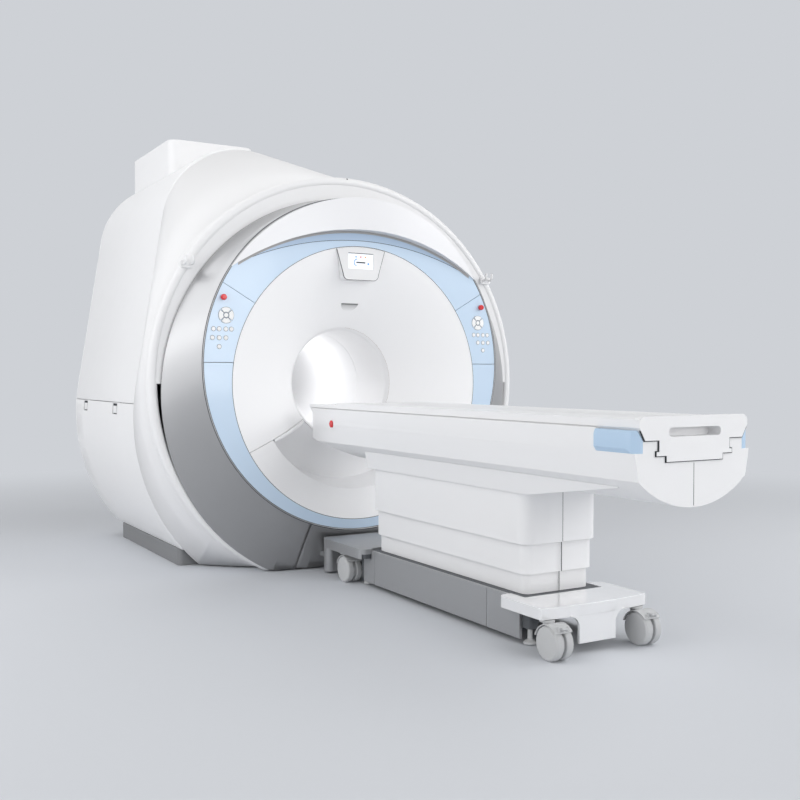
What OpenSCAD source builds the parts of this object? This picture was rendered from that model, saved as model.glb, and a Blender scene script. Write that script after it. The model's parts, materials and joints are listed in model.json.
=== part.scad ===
// Magnetic resonance scanner with its wheeled patient table docked.
// Millimetres. +Z is up, +Y runs from the table's foot end into the bore.
// Heights are over the floor, and depths are from the front panel's face.

/* [Bore and funnel] */
// Radius of the patient bore
bore_r = 300; // [280:1:330]
// Height of the bore axis over the floor
axis_z = 1023; // [1000:1:1060]
// Depth of the front funnel, from the panel face to the bore
funnel_depth = 253; // [225:1:290]
// Radius of the funnel's mouth
mouth_r = 748; // [725:1:770]
// Radius of the curve that the funnel wall follows
funnel_curve = 960; // [800:10:1400]
// Wall of the funnel and the cover shells
cover_t = 12; // [8:1:16]
// Radius where the lower funnel steps back under the table
recess_r = 585; // [565:1:610]
// Mouth radius of the rear funnel
rear_mouth_r = 520; // [440:1:600]
// Depth of the rear funnel
rear_depth = 190; // [140:1:200]
// Wall of the bore liner
liner_t = 12.5; // [8:0.5:16]

/* [Front panels] */
// Outer radius of the coloured front panel
panel_r = 905; // [890:1:925]
// Rise of the panel's outer circle over the bore axis
panel_rise = 100; // [80:1:115]
// Thickness of the front panels
panel_t = 20; // [18:1:26]
// Face thickness left over the key pockets
panel_face = 8; // [6:0.5:10]
// Width of the dark seams between the panels
seam = 3; // [2:0.5:5]
// How far the brow over the panel stands forward at its middle
brow_out = 70; // [50:1:85]
// Height of the brow at its middle
brow_h = 172; // [140:1:190]

/* [Silver ring and rim] */
// Outer radius of the silver ring
silver_r = 1077; // [1060:1:1083]
// Drop of the silver ring's outer circle below the bore axis
silver_drop = 53; // [45:1:60]
// Depth of the silver ring's outer edge
silver_y = 152; // [140:1:165]
// Radius of the tube that forms the white rim
rim_tube = 28; // [22:1:34]
// Radius of the white rim to the tube's middle
rim_r = 1116; // [1105:1:1125]
// Rise of the rim's circle over the bore axis
rim_rise = 10; // [0:1:20]

/* [Covers] */
// Radius of the lower side of the cover's section
body_r = 1116; // [1100:1:1140]
// Height of the centre of that radius
body_z = 820; // [800:1:840]
// Radius of the hood over the service side
hood_r = 472; // [440:1:500]
// Sideways place of the hood's centre
hood_x = -478; // [-520:1:-430]
// Height of the hood's centre
hood_z = 1880; // [1850:1:1910]
// Depth where the straight covers start
cover_y = 530; // [515:1:560]
// Depth of the back face
back_y = 1890; // [1850:1:1950]
// Height of the split between the upper and lower covers
split_z = 911; // [880:1:940]
// Clearance of the covers over the floor
floor_gap = 8; // [5:1:12]
// Height of the service turret's top
turret_top = 2490; // [2440:1:2540]
// Width of the service turret
turret_w = 540; // [480:1:560]
// Length of the service turret
turret_l = 812; // [700:1:830]
// Corner radius of the service turret
turret_corner = 60; // [40:1:90]

/* [Magnet inside] */
// Clearance between the magnet vessel and the covers' lower radius
vessel_gap = 236; // [226:1:276]
// Radius of the vessel's warm bore
warm_r = 460; // [440:1:480]
// Wall of the transmit coil's tube
coil_t = 31; // [24:1:36]
// Clearance between nested tubes
nest = 0.5; // [0.3:0.1:0.8]
// Half width of the plinth
plinth_half = 858; // [820:1:870]
// Height of the plinth
plinth_h = 96; // [80:1:110]

/* [Front controls] */
// Height of the jog pad over the bore axis
jog_rise = 351; // [340:1:360]
// Distance of the jog pads from the middle
jog_x = 781; // [775:1:787]
// Outer radius of the jog pad's arrow keys
jog_r = 40; // [36:0.5:42]
// Radius of the stop button's head
stop_r = 15.5; // [13:0.5:20]
// Travel of the stop buttons
stop_travel = 4; // [3:0.5:4]
// Radius of the round keys
key_r = 10; // [8:0.5:11]
// Clearance around a key in its hole
key_gap = 0.5; // [0.4:0.1:0.8]
// Half width of the screen
screen_half = 78; // [70:1:84]
// Height of the screen
screen_h = 86; // [76:1:92]

/* [Table top] */
// Length of the table shell in front of the panel face
table_l = 2424; // [2300:1:2500]
// How far the table's nose reaches into the funnel
nose_in = 112; // [90:1:120]
// Half width of the table shell
shell_half = 275; // [268:1:282]
// Height of the shell's rim
shell_top = 888; // [880:1:892]
// Radius of the shell's rounded underside
belly_r = 386; // [370:1:400]
// Height of the centre of that radius
belly_z = 1000; // [985:1:1010]
// Half width of the sliding cradle
cradle_half = 259; // [250:1:263]
// Height of the cradle's rim
cradle_top = 921; // [912:1:926]
// Height of the end plate on the cradle
end_plate_top = 931; // [926:1:936]
// Half width of the hand slot in the end plate
slot_half = 125; // [100:1:140]
// Clearance of the cradle in its guide
slide_gap = 3; // [2:0.5:4]
// Clearance between faces that slide past each other
run_gap = 0.4; // [0.3:0.1:0.6]

/* [Table lift] */
// Half width of the upper pedestal cover
pedestal_half = 195; // [185:1:200]
// Step from one pedestal cover to the next
pedestal_step = 15; // [12:0.5:18]
// Wall of the pedestal covers
pedestal_t = 6; // [4:0.5:8]
// Distance of the pedestal's foot face from the panel
pedestal_foot = 1728; // [1700:1:1735]
// Distance of the pedestal's head face from the panel
pedestal_head = 472; // [462:1:520]
// Corner radius of the upper pedestal cover
pedestal_corner = 60; // [45:1:75]
// Lowest edge of the upper pedestal cover
upper_edge = 394; // [388:1:400]
// Lowest edge of the middle pedestal cover
middle_edge = 272; // [268:1:280]
// Radius of the lift rod
rod_r = 70; // [55:1:80]

/* [Table base] */
// Height of the base deck
deck_z = 190; // [186:1:194]
// Half width of the wide ends of the base
end_half = 268; // [262:1:276]
// Distance of the foot plate's front from the panel
foot_front = 1944; // [1930:1:1960]
// Half width of the narrow middle of the base
waist_half = 198; // [194:1:204]
// Radius of the caster wheels
wheel_r = 66; // [60:0.5:67]
// Width of a caster's pair of wheels
wheel_w = 83; // [76:0.5:88]
// Distance from a wheel's centre back to its stem
trail = 45; // [38:0.5:50]
// Distance of the casters from the middle
caster_x = 223; // [218:1:226]
// Distance of the foot wheels from the panel
foot_wheel = 1953; // [1945:1:1960]
// Distance of the head wheels from the panel
head_wheel = 292.5; // [285:0.5:300]
// Radius of the caster axles
axle_r = 6; // [5:0.5:8]
// Radial clearance of the axles and stems
fit_gap = 0.06; // [0.03:0.01:0.1]

/* [Hidden] */
$fn = 96;
wide = 3000;
panel_z = axis_z + panel_rise;
silver_z = axis_z - silver_drop;
rim_z = axis_z + rim_rise;
rim_y = silver_y + rim_tube + 2;
rim_back = rim_y + 110;
// Step between the rim's tube and the fairing behind it
rim_step = 6;
// Width of the flat face inside the rim, behind the silver ring's edge
rim_crescent = 110;
rim_face_y = 22;
// How far that face stops short of the middle of the rim's tube
rim_tuck = 8;
row_shift = (table_l + 6 - back_y) / 2;
// Funnel curve: its centre, and its depth at a radius
function bell_centre(r0, y0, r1, y1, a) =
    let (dr = r1 - r0)
    let (dy = y1 - y0)
    let (l = norm([dr, dy]))
    let (h = sqrt(a * a - l * l / 4))
    [(r0 + r1) / 2 + h * dy / l, (y0 + y1) / 2 - h * dr / l];
bell_c = bell_centre(mouth_r, 0, bore_r, funnel_depth, funnel_curve);
function bell_y(r) = bell_c.y - sqrt(funnel_curve * funnel_curve - pow(bell_c.x - r, 2));
// Throats where the covers' funnels end, the front one at the liner's lip, the rear one round the coil
throat_r = bore_r + liner_t + 3.5;
throat_y = bell_y(throat_r);
rear_curve = funnel_curve / 2;
rear_c = bell_centre(rear_mouth_r, 0, bore_r, rear_depth, rear_curve);
rear_throat_r = bore_r + liner_t + nest + coil_t + 2;
rear_throat_y = rear_c.y - sqrt(rear_curve * rear_curve - pow(rear_c.x - rear_throat_r, 2));
// Split between the upper and lower funnel covers
funnel_split_x = bore_r - 70;
funnel_split_z = axis_z - 198;
funnel_split_slope = 0.382;
recess_in = recess_r - 40;
recess_y = funnel_depth - cover_t - 1;
ledge_r = recess_r - 10;
ledge_t = 14;
ledge_curve = 364;
// Seams of the front panel
upper_seam_x = 629;
upper_seam_z = axis_z + 421;
upper_seam_slope = 0.581;
lower_seam_z = axis_z + 109;
dock_seam_x = 300;
dock_seam_slope = 0.167;
dock_pin_x = 204;
dock_pin_z = 88;
dock_pin_r = 16;
// Brow: the circle of its lower edge and of its front
brow_tip = 754;
brow_low = panel_z + panel_r - brow_h;
brow_tip_z = panel_z + sqrt(panel_r * panel_r - brow_tip * brow_tip);
brow_sag = brow_low - brow_tip_z;
brow_arc = brow_tip * brow_tip / (2 * brow_sag) + brow_sag / 2;
brow_edge = 8;
brow_depth = brow_out - brow_edge;
brow_bow = brow_tip * brow_tip / (2 * brow_depth) + brow_depth / 2;
// Directions of the two straight sides that join the body and hood radii
hood_d = [-hood_x, body_z - hood_z];
hood_turn = acos((hood_r - body_r) / norm(hood_d));
hood_dir = atan2(hood_d.y, hood_d.x);
function side_dir(s) = [cos(hood_dir + s * hood_turn), sin(hood_dir + s * hood_turn)];
// The straight sides stand a hair proud, so that they cross the radii cleanly
side_proud = 0.2;
side_inset = 0.5;
side_lap = 15;
turret_y = back_y - 18 - turret_l;
turret_x = hood_x - turret_w / 2 + 13;
plate_t = 12;
vessel_r = body_r - vessel_gap;
vessel_y0 = funnel_depth + 127;
vessel_y1 = back_y - rear_depth - 40;
liner_y1 = back_y - rear_throat_y - nest;
cold_x = hood_x + 13;
cold_y = turret_y + turret_l / 2 - 180;
saddle_half = 620;
saddle_l = 100;
saddle_h = 420;
saddle_in = 60;
plinth_in = 27;
// Controls
jog_z = axis_z + jog_rise;
stop_x = jog_x + 16;
stop_z = jog_z + 91;
stop_shaft = stop_r - 6;
jog_travel = 1.5;
key_pitch = 34;
key_rows = [[68, 38, 2, -28], [74, 38, 2], [38]];
key_row_z = jog_z - 71;
key_row_step = 45;
pod_top = 152;
pod_low = 109;
pod_z = mouth_r - 748 + axis_z + 565;
pod_corner = 30;
screen_z = pod_z + 62;
screen_t = 5;
pod_y = -3;
notch_z = axis_z + 400;
notch_half = 53;
// Table
keel_half = 134;
keel_z = 776;
flange_half = 180;
flange_z0 = 797;
flange_z1 = 811;
neck_half = 168;
flare_half = 232;
flare_z = 850;
rim_under = 893;
cradle_nose = nose_in + 4;
end_plate_t = 30;
crease_half = shell_half - 18;
crease_z = belly_z - sqrt(belly_r * belly_r - crease_half * crease_half);
shroud_half = 225;
shroud_low = 600;
shroud_top = 684;
shroud_lap = 13;
// Flat length of the shroud's underside past the pedestal, before it rises to the foot end
shroud_flat = 30;
shroud_foot = 2290;
shroud_head = 459;
bumper_l = 190;
bumper_low = 808;
bumper_in = 238;
bumper_out = 285;
lift_travel = 185;
middle_share = 0.36;
pedestal_lap = 40;
table_stop_y = -187;
table_stop_z = 812;
// Base
plate_z = deck_z - 18;
frame_z = 70;
stem_r = 8;
caster_top = 2 * wheel_r + 14;
web_t = 13;
web_gap = 1;
tread_w = (wheel_w - web_t) / 2 - web_gap;
fender_gap = 3;
fender_t = 3;
pedal_y = 48;
pedal_l = 22;
pedal_z = wheel_r + 66;
pedal_pin = 3;
lip_low = 148;
skirt_half = 92;
skirt_low = 40;
arch_r = 45;
// Ends of the base under the pedestal, and of the plates over its casters
base_foot = pedestal_foot + 42;
base_head = pedestal_head - 100;
deck_foot = pedestal_foot + 10;
deck_head = pedestal_head + 10;
foot_back = pedestal_foot - 81;
dock_back = pedestal_head + 28;
dock_front = 64;
end_in = 13;
end_t = 22;
lip_t = 10;
arch_half = 160;
arch_h = 35;
side_foot = pedestal_foot - 8;
side_head = pedestal_head - 48;
side_low = 25;
side_t = 13;
side_joint_foot = 232;
side_joint_head = 67;
// Room behind the end plates that the side covers leave free
side_room = 199;
leg_low = 12;
leg_half = 240;
mouth_half = 168;
mouth_h = 112;
foot_r = 26;
foot_stem = 10;
foot_in = 28;

// The sub-part to draw, or all of them

// Helpers

// Moves the part so that the middle of its length is over the origin
module in_row() {
    translate([0, row_shift, 0])
        children();
}

// Extrudes an outline in X and Z from depth y0 to depth y1
module slab(y0, y1) {
    translate([0, y1, 0])
        rotate([90, 0, 0])
            linear_extrude(y1 - y0)
                children();
}

// Turns an outline in radius and depth about a level axis at height z
module turned(z) {
    translate([0, 0, z])
        rotate([-90, 0, 0])
            rotate_extrude()
                children();
}

// A disc across the depth, from y0 to y1
module disc(r, z, y0, y1) {
    translate([0, y1, z])
        rotate([90, 0, 0])
            cylinder(r = r, h = y1 - y0);
}

// A round bar along the width from x0 to x1
module cross_bar(r, x0, x1, y, z) {
    translate([x0, y, z])
        rotate([0, 90, 0])
            cylinder(r = r, h = x1 - x0);
}

// A rectangle with round corners between two corner points
module round_rect(low, high, r) {
    translate([low.x + r, low.y])
        square([high.x - low.x - 2 * r, high.y - low.y]);
    translate([low.x, low.y + r])
        square([high.x - low.x, high.y - low.y - 2 * r]);
    for (x = [low.x + r, high.x - r]) {
        for (y = [low.y + r, high.y - r]) {
            translate([x, y])
                circle(r = r);
        }
    }
}

// A circle in X and Z at height z
module ring_circle(r, z) {
    translate([0, z])
        circle(r = r);
}

// Everything over a height
module above(z) {
    translate([-wide, z])
        square([2 * wide, wide]);
}

// Everything under a height
module below(z) {
    translate([-wide, z - wide])
        square([2 * wide, wide]);
}

// One side of the middle, s is -1 for the left and 1 for the right
module half(s) {
    translate([s > 0 ? 0 : -wide, -wide])
        square([wide, 3 * wide]);
}

// Draws for the left or right side
module on_side(s) {
    mirror([s < 0 ? 1 : 0, 0, 0])
        children();
}

// Funnels

// Wall of a funnel in radius and depth, cut off at its throat
module bell_wall(r0, r1, depth, a, throat) {
    c = bell_centre(r0, 0, r1, depth, a);
    intersection() {
        translate(c)
            difference() {
                circle(r = a, $fn = 360);
                circle(r = a - cover_t, $fn = 360);
            }
        translate([r1 - 5, -1])
            square([r0 - r1 + 5, throat + 1]);
    }
}

// All that lies behind the front funnel's face
module behind_bell() {
    intersection() {
        translate(bell_c)
            circle(r = funnel_curve, $fn = 360);
        translate([bore_r, -10])
            square([mouth_r - bore_r, funnel_depth]);
    }
}

// Seat at the funnel's mouth, which stands on the silver ring's flange
module mouth_seat() {
    translate([mouth_r - cover_t, 6])
        square([cover_t, panel_t - 6]);
}

// Region under the split between the two funnel covers, shifted down by drop
module under_split(drop) {
    far = funnel_split_z - (wide - funnel_split_x) * funnel_split_slope - drop;
    near = funnel_split_z - drop;
    polygon([
        [-wide, far], [-funnel_split_x, near], [funnel_split_x, near], [wide, far],
        [wide, -wide], [-wide, -wide]
    ]);
}

// Small half-moon recess in the funnel over the bore
module notch() {
    slab(0, funnel_depth)
        intersection() {
            translate([0, notch_z + 46])
                scale([1, 0.87])
                    circle(r = notch_half, $fn = 48);
            below(notch_z + 46);
        }
}

module funnel_upper() {
    color("white")
        in_row()
            difference() {
                turned(axis_z) {
                    bell_wall(mouth_r, bore_r, funnel_depth, funnel_curve, throat_y);
                    mouth_seat();
                }
                slab(-50, 2 * funnel_depth)
                    under_split(-seam / 2);
                intersection() {
                    notch();
                    turned(axis_z)
                        translate([bore_r, -10])
                            square([mouth_r - bore_r, 134]);
                }
            }
}

// Lower funnel: flare, step and back wall in radius and depth
module lower_funnel_wall() {
    edge_y = bell_y(recess_r);
    intersection() {
        bell_wall(mouth_r, bore_r, funnel_depth, funnel_curve, throat_y);
        translate([recess_r, -10])
            square([mouth_r, funnel_depth]);
    }
    polygon([
        [recess_r, edge_y], [recess_in, recess_y], [throat_r + 1, recess_y],
        [throat_r + 1, recess_y + cover_t], [recess_in + cover_t, recess_y + cover_t],
        [recess_r + cover_t, edge_y + cover_t / 2]
    ]);
    mouth_seat();
}

// Shelf along the split, beside the table's nose
module split_ledge() {
    end_r = throat_r + 3;
    c = bell_centre(ledge_r, bell_y(ledge_r), end_r, bell_y(end_r), ledge_curve);
    intersection() {
        turned(axis_z)
            intersection() {
                translate(c)
                    circle(r = ledge_curve, $fn = 180);
                translate([end_r, -40])
                    square([ledge_r - end_r, recess_y + 45]);
            }
        slab(-50, funnel_depth)
            difference() {
                under_split(seam / 2);
                under_split(seam / 2 + ledge_t);
            }
    }
}

module funnel_lower() {
    color("whitesmoke")
        in_row() {
            intersection() {
                turned(axis_z)
                    lower_funnel_wall();
                slab(-50, 2 * funnel_depth)
                    under_split(seam / 2);
            }
            split_ledge();
        }
}

// Front panels

// Whole coloured ring, from the funnel's mouth to the eccentric outer circle
module panel_ring() {
    difference() {
        ring_circle(panel_r, panel_z);
        ring_circle(mouth_r + seam / 2, axis_z);
    }
}

// Region over the two upper seams
module over_upper_seam(lift) {
    low = upper_seam_z - upper_seam_x * upper_seam_slope + lift;
    high = low + wide * upper_seam_slope;
    polygon([[-wide, high], [0, low], [wide, high], [wide, wide], [-wide, wide]]);
}

module panel_upper() {
    color("lightsteelblue")
        in_row()
            slab(0, panel_t)
                intersection() {
                    panel_ring();
                    over_upper_seam(seam / 2);
                }
}

module panel_lower() {
    color("lightsteelblue")
        in_row()
            slab(0, panel_t)
                intersection() {
                    panel_ring();
                    below(lower_seam_z - seam / 2);
                }
}

// One quarter of the jog pad, grown by g all round
module jog_arrow(g) {
    apex = g / sin(38);
    intersection() {
        difference() {
            circle(r = jog_r + g);
            circle(r = 17 - g);
        }
        polygon([[-apex, 0], [2 * jog_r, 2 * jog_r * tan(38) + g], [2 * jog_r, -2 * jog_r * tan(38) - g]]);
    }
}

// All the jog keys round their own middle
module jog_keys(g) {
    for (turn = [0 : 90 : 270]) {
        rotate(turn)
            jog_arrow(g);
    }
    circle(r = 11 + g);
}

// The round keys of one keypad, on the right-hand side
module round_keys(r) {
    for (row = [0 : len(key_rows) - 1]) {
        for (x = key_rows[row]) {
            translate([jog_x + x, key_row_z - row * key_row_step])
                circle(r = r, $fn = 32);
        }
    }
}

// Back of one keypad, on the right-hand side
module keypad_area(g) {
    translate([jog_x - 43 - g, key_row_z - 2 * key_row_step - 15 - g])
        square([132 + 2 * g, 2 * key_row_step + 30 + 2 * g]);
}

module control_panel(s) {
    color("aliceblue")
        in_row()
            on_side(s) {
                difference() {
                    slab(0, panel_t)
                        difference() {
                            intersection() {
                                panel_ring();
                                above(lower_seam_z + seam / 2);
                                half(1);
                            }
                            over_upper_seam(-seam / 2);
                            translate([stop_x, stop_z])
                                circle(r = stop_shaft + key_gap);
                            translate([jog_x, jog_z])
                                jog_keys(key_gap);
                            round_keys(key_r + key_gap);
                        }
                    slab(panel_face, panel_t + 1) {
                        translate([jog_x, jog_z])
                            circle(r = jog_r + 8);
                        keypad_area(2);
                    }
                }
                slab(-1.5, 0)
                    translate([stop_x, stop_z])
                        difference() {
                            circle(r = stop_r + 4);
                            circle(r = stop_shaft + key_gap);
                        }
            }
}

module control_panel_left() {
    control_panel(-1);
}

module control_panel_right() {
    control_panel(1);
}

module stop_button(s) {
    color("red")
        in_row()
            on_side(s)
                translate([stop_x, 0, stop_z])
                    rotate([-90, 0, 0])
                        rotate_extrude()
                            polygon([
                                [0, -22], [stop_r - 6, -22], [stop_r - 1.5, -20], [stop_r, -16],
                                [stop_r, -2 - stop_travel], [stop_shaft, -2 - stop_travel],
                                [stop_shaft, panel_t - 4], [0, panel_t - 4]
                            ]);
}

module stop_button_left() {
    stop_button(-1);
}

module stop_button_right() {
    stop_button(1);
}

module jog_pad(s) {
    color("white")
        in_row()
            on_side(s)
                translate([jog_x, 0, jog_z]) {
                    slab(-3, panel_face + 2.5)
                        jog_keys(0);
                    slab(panel_face + 2, panel_face + 5)
                        circle(r = jog_r + 5);
                }
}

module jog_pad_left() {
    jog_pad(-1);
}

module jog_pad_right() {
    jog_pad(1);
}

module keypad(s) {
    color("white")
        in_row()
            on_side(s) {
                slab(-2, panel_face + 1)
                    round_keys(key_r);
                slab(panel_face + run_gap / 2, panel_face + 3)
                    keypad_area(0);
            }
}

module keypad_left() {
    keypad(-1);
}

module keypad_right() {
    keypad(1);
}

// Brow over the panel, bowed forward in the middle and flush at its tips
module brow() {
    color("gainsboro")
        in_row()
            intersection() {
                slab(-brow_out - 10, 0)
                    difference() {
                        ring_circle(panel_r, panel_z);
                        ring_circle(brow_arc, brow_low - brow_arc, $fn = 180);
                    }
                translate([0, brow_bow - brow_out, panel_z])
                    cylinder(r = brow_bow, h = panel_r + 10, $fn = 720);
            }
}

// Silver ring: an oblique cone between the panel's circle and its own
module silver_cone(t) {
    hull() {
        disc(panel_r + 6 - t, panel_z, 0, 4);
        disc(silver_r - t, silver_z, silver_y - 4, silver_y);
    }
}

// Wall of the silver ring
module silver_wall() {
    difference() {
        silver_cone(0);
        translate([0, 0.02, 0])
            silver_cone(cover_t);
        disc(panel_r + nest, panel_z, -1, panel_t);
        disc(silver_r - cover_t + 1, silver_z, silver_y - 6, silver_y + 1);
        slab(-1, silver_y + 1)
            below(floor_gap);
    }
}

// Flange behind the front panels, which carries them and the funnel
module silver_flange() {
    slab(panel_t, panel_t + cover_t)
        difference() {
            ring_circle(panel_r + 3, panel_z);
            ring_circle(mouth_r - cover_t, axis_z);
            for (s = [-1, 1]) {
                translate([s * stop_x, stop_z])
                    circle(r = stop_shaft + 4);
            }
        }
}

// The piece of the silver ring in front of the table's dock, wider towards the floor
module dock_zone(g) {
    top = panel_z - sqrt(panel_r * panel_r - dock_seam_x * dock_seam_x);
    low = dock_seam_x + top * dock_seam_slope;
    high = dock_seam_x - 200 * dock_seam_slope;
    polygon([[-low + g, 0], [low - g, 0], [high - g, top + 200], [-high + g, top + 200]]);
}

module silver_ring() {
    color("darkgray")
        in_row()
            union() {
                difference() {
                    silver_wall();
                    slab(-1, silver_y + 1)
                        intersection() {
                            dock_zone(-seam / 2);
                            below(axis_z - mouth_r);
                        }
                }
                silver_flange();
            }
}

// The two docking pins, or their sockets when grown by g
module dock_pins(y0, y1, g) {
    for (s = [-1, 1]) {
        translate([s * dock_pin_x, 0, 0])
            disc(dock_pin_r + g, dock_pin_z, y0, y1);
    }
}

module dock_panel() {
    color("gray")
        in_row()
            difference() {
                intersection() {
                    silver_wall();
                    slab(-1, silver_y + 1)
                        dock_zone(seam / 2);
                }
                dock_pins(-10, silver_y, run_gap);
            }
}

// Outline of the covers, inset by t
module body_section(t) {
    left = side_dir(-1);
    right = side_dir(1);
    body_out = body_r - t + side_proud;
    hood_out = hood_r - t + side_proud;
    ring_circle(body_r - t, body_z);
    translate([hood_x, hood_z])
        circle(r = hood_r - t);
    polygon([
        [0, body_z] + body_out * left, [hood_x, hood_z] + hood_out * left,
        [hood_x, hood_z] + hood_out * right, [0, body_z] + body_out * right
    ]);
}

// Fairing from the rim's circle to the covers' outline
module fairing(t, y0, y1) {
    hull() {
        disc(rim_r + rim_tube - t, rim_z, y0, y0 + 4);
        disc(body_r - t, body_z, y1 - 4, y1);
        translate([hood_x, 0, 0])
            disc(hood_r - t, hood_z, y1 - 4, y1);
    }
}

// Flat face inside the upper half of the rim
module rim_face() {
    intersection() {
        turned(rim_z)
            translate([rim_r - rim_crescent, rim_y - rim_face_y])
                square([rim_crescent - rim_tuck, cover_t]);
        slab(0, cover_y)
            above(axis_z);
    }
}

module front_rim() {
    color("white")
        in_row()
            intersection() {
                union() {
                    difference() {
                        fairing(0, rim_back - 4, cover_y);
                        fairing(cover_t, rim_back - 4.02, cover_y + 0.02);
                    }
                    turned(rim_z) {
                        translate([rim_r, rim_y])
                            polygon([for (a = [0:15:345]) rim_tube * [cos(a), sin(a)]]);
                        translate([rim_r + rim_step, rim_y])
                            square([cover_t + 4, rim_back - rim_y - 1]);
                    }
                    rim_face();
                }
                slab(0, cover_y)
                    above(floor_gap);
            }
}

// Covers

// Wall of the covers round one of their two radii, kept over or under the straight sides
module cover_arc(r, middle, over) {
    far = 2 * wide;
    left = middle + far * side_dir(-1);
    right = middle + far * side_dir(1);
    difference() {
        translate(middle)
            difference() {
                circle(r = r);
                circle(r = r - cover_t);
            }
        polygon([middle, left, [left.x, over * far], [right.x, over * far], right]);
    }
}

// One straight side of the covers, a little thinner than the radii and let into them
module cover_side(n) {
    low = [0, body_z] + (body_r - side_inset) * n;
    high = [hood_x, hood_z] + (hood_r - side_inset) * n;
    lap = side_lap * (high - low) / norm(high - low);
    wall = (cover_t - 2 * side_inset) * n;
    polygon([low - lap, high + lap, high + lap - wall, low - lap - wall]);
}

// Shell of the straight covers: two radii and the two straight sides between them
module cover_shell() {
    slab(cover_y, back_y - plate_t)
        cover_arc(body_r, [0, body_z], 1);
    slab(cover_y, back_y - plate_t)
        cover_arc(hood_r, [hood_x, hood_z], -1);
    for (s = [-1, 1]) {
        slab(cover_y, back_y - plate_t)
            cover_side(side_dir(s));
    }
}

module upper_cover() {
    color("white")
        in_row()
            difference() {
                cover_shell();
                slab(0, wide)
                    below(split_z + seam / 2);
                translate([cold_x, cold_y, hood_z])
                    cylinder(r = 110, h = wide);
            }
}

// Shallow pockets for the cover's two latches
module latch_pockets() {
    for (y = [back_y - 977, back_y - 270]) {
        translate([-wide, y - 50, split_z - 72])
            cube([wide - body_r + 8, 100, 58]);
    }
}

module lower_cover(s) {
    color("white")
        in_row()
            difference() {
                intersection() {
                    cover_shell();
                    slab(0, wide)
                        half(s);
                    slab(0, wide)
                        intersection() {
                            below(split_z - seam / 2);
                            above(plinth_h);
                        }
                }
                on_side(-s)
                    latch_pockets();
            }
}

module lower_cover_left() {
    lower_cover(-1);
}

module lower_cover_right() {
    lower_cover(1);
}

module rear_cover() {
    color("white")
        in_row() {
            slab(back_y - plate_t, back_y)
                difference() {
                    intersection() {
                        body_section(0);
                        above(plinth_h);
                    }
                    ring_circle(rear_mouth_r - 2, axis_z);
                }
            translate([0, back_y, 0])
                mirror([0, 1, 0])
                    turned(axis_z)
                        bell_wall(rear_mouth_r, bore_r, rear_depth, rear_curve, rear_throat_y);
        }
}

module turret_cover() {
    color("white")
        in_row()
            difference() {
                translate([turret_x, turret_y, hood_z])
                    difference() {
                        linear_extrude(turret_top - hood_z)
                            round_rect([0, 0], [turret_w, turret_l], turret_corner);
                        translate([0, 0, -1])
                            linear_extrude(turret_top - hood_z + 1 - cover_t)
                                round_rect(
                                    [cover_t, cover_t], [turret_w - cover_t, turret_l - cover_t],
                                    turret_corner - cover_t
                                );
                    }
                slab(0, wide)
                    body_section(-run_gap);
            }
}

// Magnet inside

module plinth() {
    color("gray")
        in_row()
            difference() {
                union() {
                    translate([0, cover_y + plinth_in, 0])
                        linear_extrude(plinth_h - run_gap)
                            round_rect(
                                [-plinth_half, 0], [plinth_half, vessel_y1 - cover_y + 2 * plinth_in], 30
                            );
                    for (y = [cover_y + saddle_in, vessel_y1 - saddle_in - saddle_l]) {
                        translate([-saddle_half, y, 0])
                            cube([2 * saddle_half, saddle_l, saddle_h]);
                    }
                }
                disc(vessel_r + run_gap, axis_z, 0, wide);
            }
}

module magnet_vessel() {
    color("silver")
        in_row() {
            slab(vessel_y0, vessel_y1)
                difference() {
                    ring_circle(vessel_r, axis_z);
                    ring_circle(warm_r, axis_z);
                }
            translate([cold_x, cold_y, axis_z + vessel_r / 2])
                cylinder(r = 140, h = hood_z - axis_z - vessel_r / 2);
        }
}

module cold_head() {
    color("dimgray")
        in_row()
            translate([cold_x, cold_y, hood_z]) {
                cylinder(r = 105, h = 60);
                cylinder(r = 85, h = turret_top - hood_z - 3 * cover_t);
            }
}

// A tube along the bore
module bore_tube(r0, r1, y0, y1) {
    slab(y0, y1)
        difference() {
            ring_circle(r1, axis_z);
            ring_circle(r0, axis_z);
        }
}

module gradient_coil() {
    color("peru")
        in_row()
            bore_tube(bore_r + liner_t + coil_t + 2 * nest, warm_r - nest, vessel_y0 + 20, vessel_y1 - 20);
}

module transmit_coil() {
    color("goldenrod")
        in_row()
            bore_tube(
                bore_r + liner_t + nest, bore_r + liner_t + nest + coil_t, vessel_y0 + 40, liner_y1
            );
}

// Liner in radius and depth, with a lip that carries the funnel's curve on into the bore
module liner_section() {
    lip_y = throat_y + nest;
    outer_r = bore_r + liner_t;
    polygon([
        [bore_r, liner_y1], [bore_r, funnel_depth + 8], [bore_r + 3, funnel_depth], [throat_r - nest, lip_y],
        [throat_r - nest, lip_y + 6], [outer_r, lip_y + 12], [outer_r, liner_y1]
    ]);
}

module bore_liner() {
    color("white")
        in_row()
            difference() {
                turned(axis_z)
                    liner_section();
                bore_tube(bore_r - 1, bore_r + 2, funnel_depth + 360, funnel_depth + 363);
            }
}

// Bed of the bore that the cradle runs over
module bore_bridge() {
    color("whitesmoke")
        in_row()
            slab(funnel_depth - 60, liner_y1 - 5)
                intersection() {
                    ring_circle(bore_r - run_gap, axis_z);
                    translate([-keel_half, 0])
                        square([2 * keel_half, keel_z - slide_gap]);
                }
}

// Display and hooks

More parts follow.
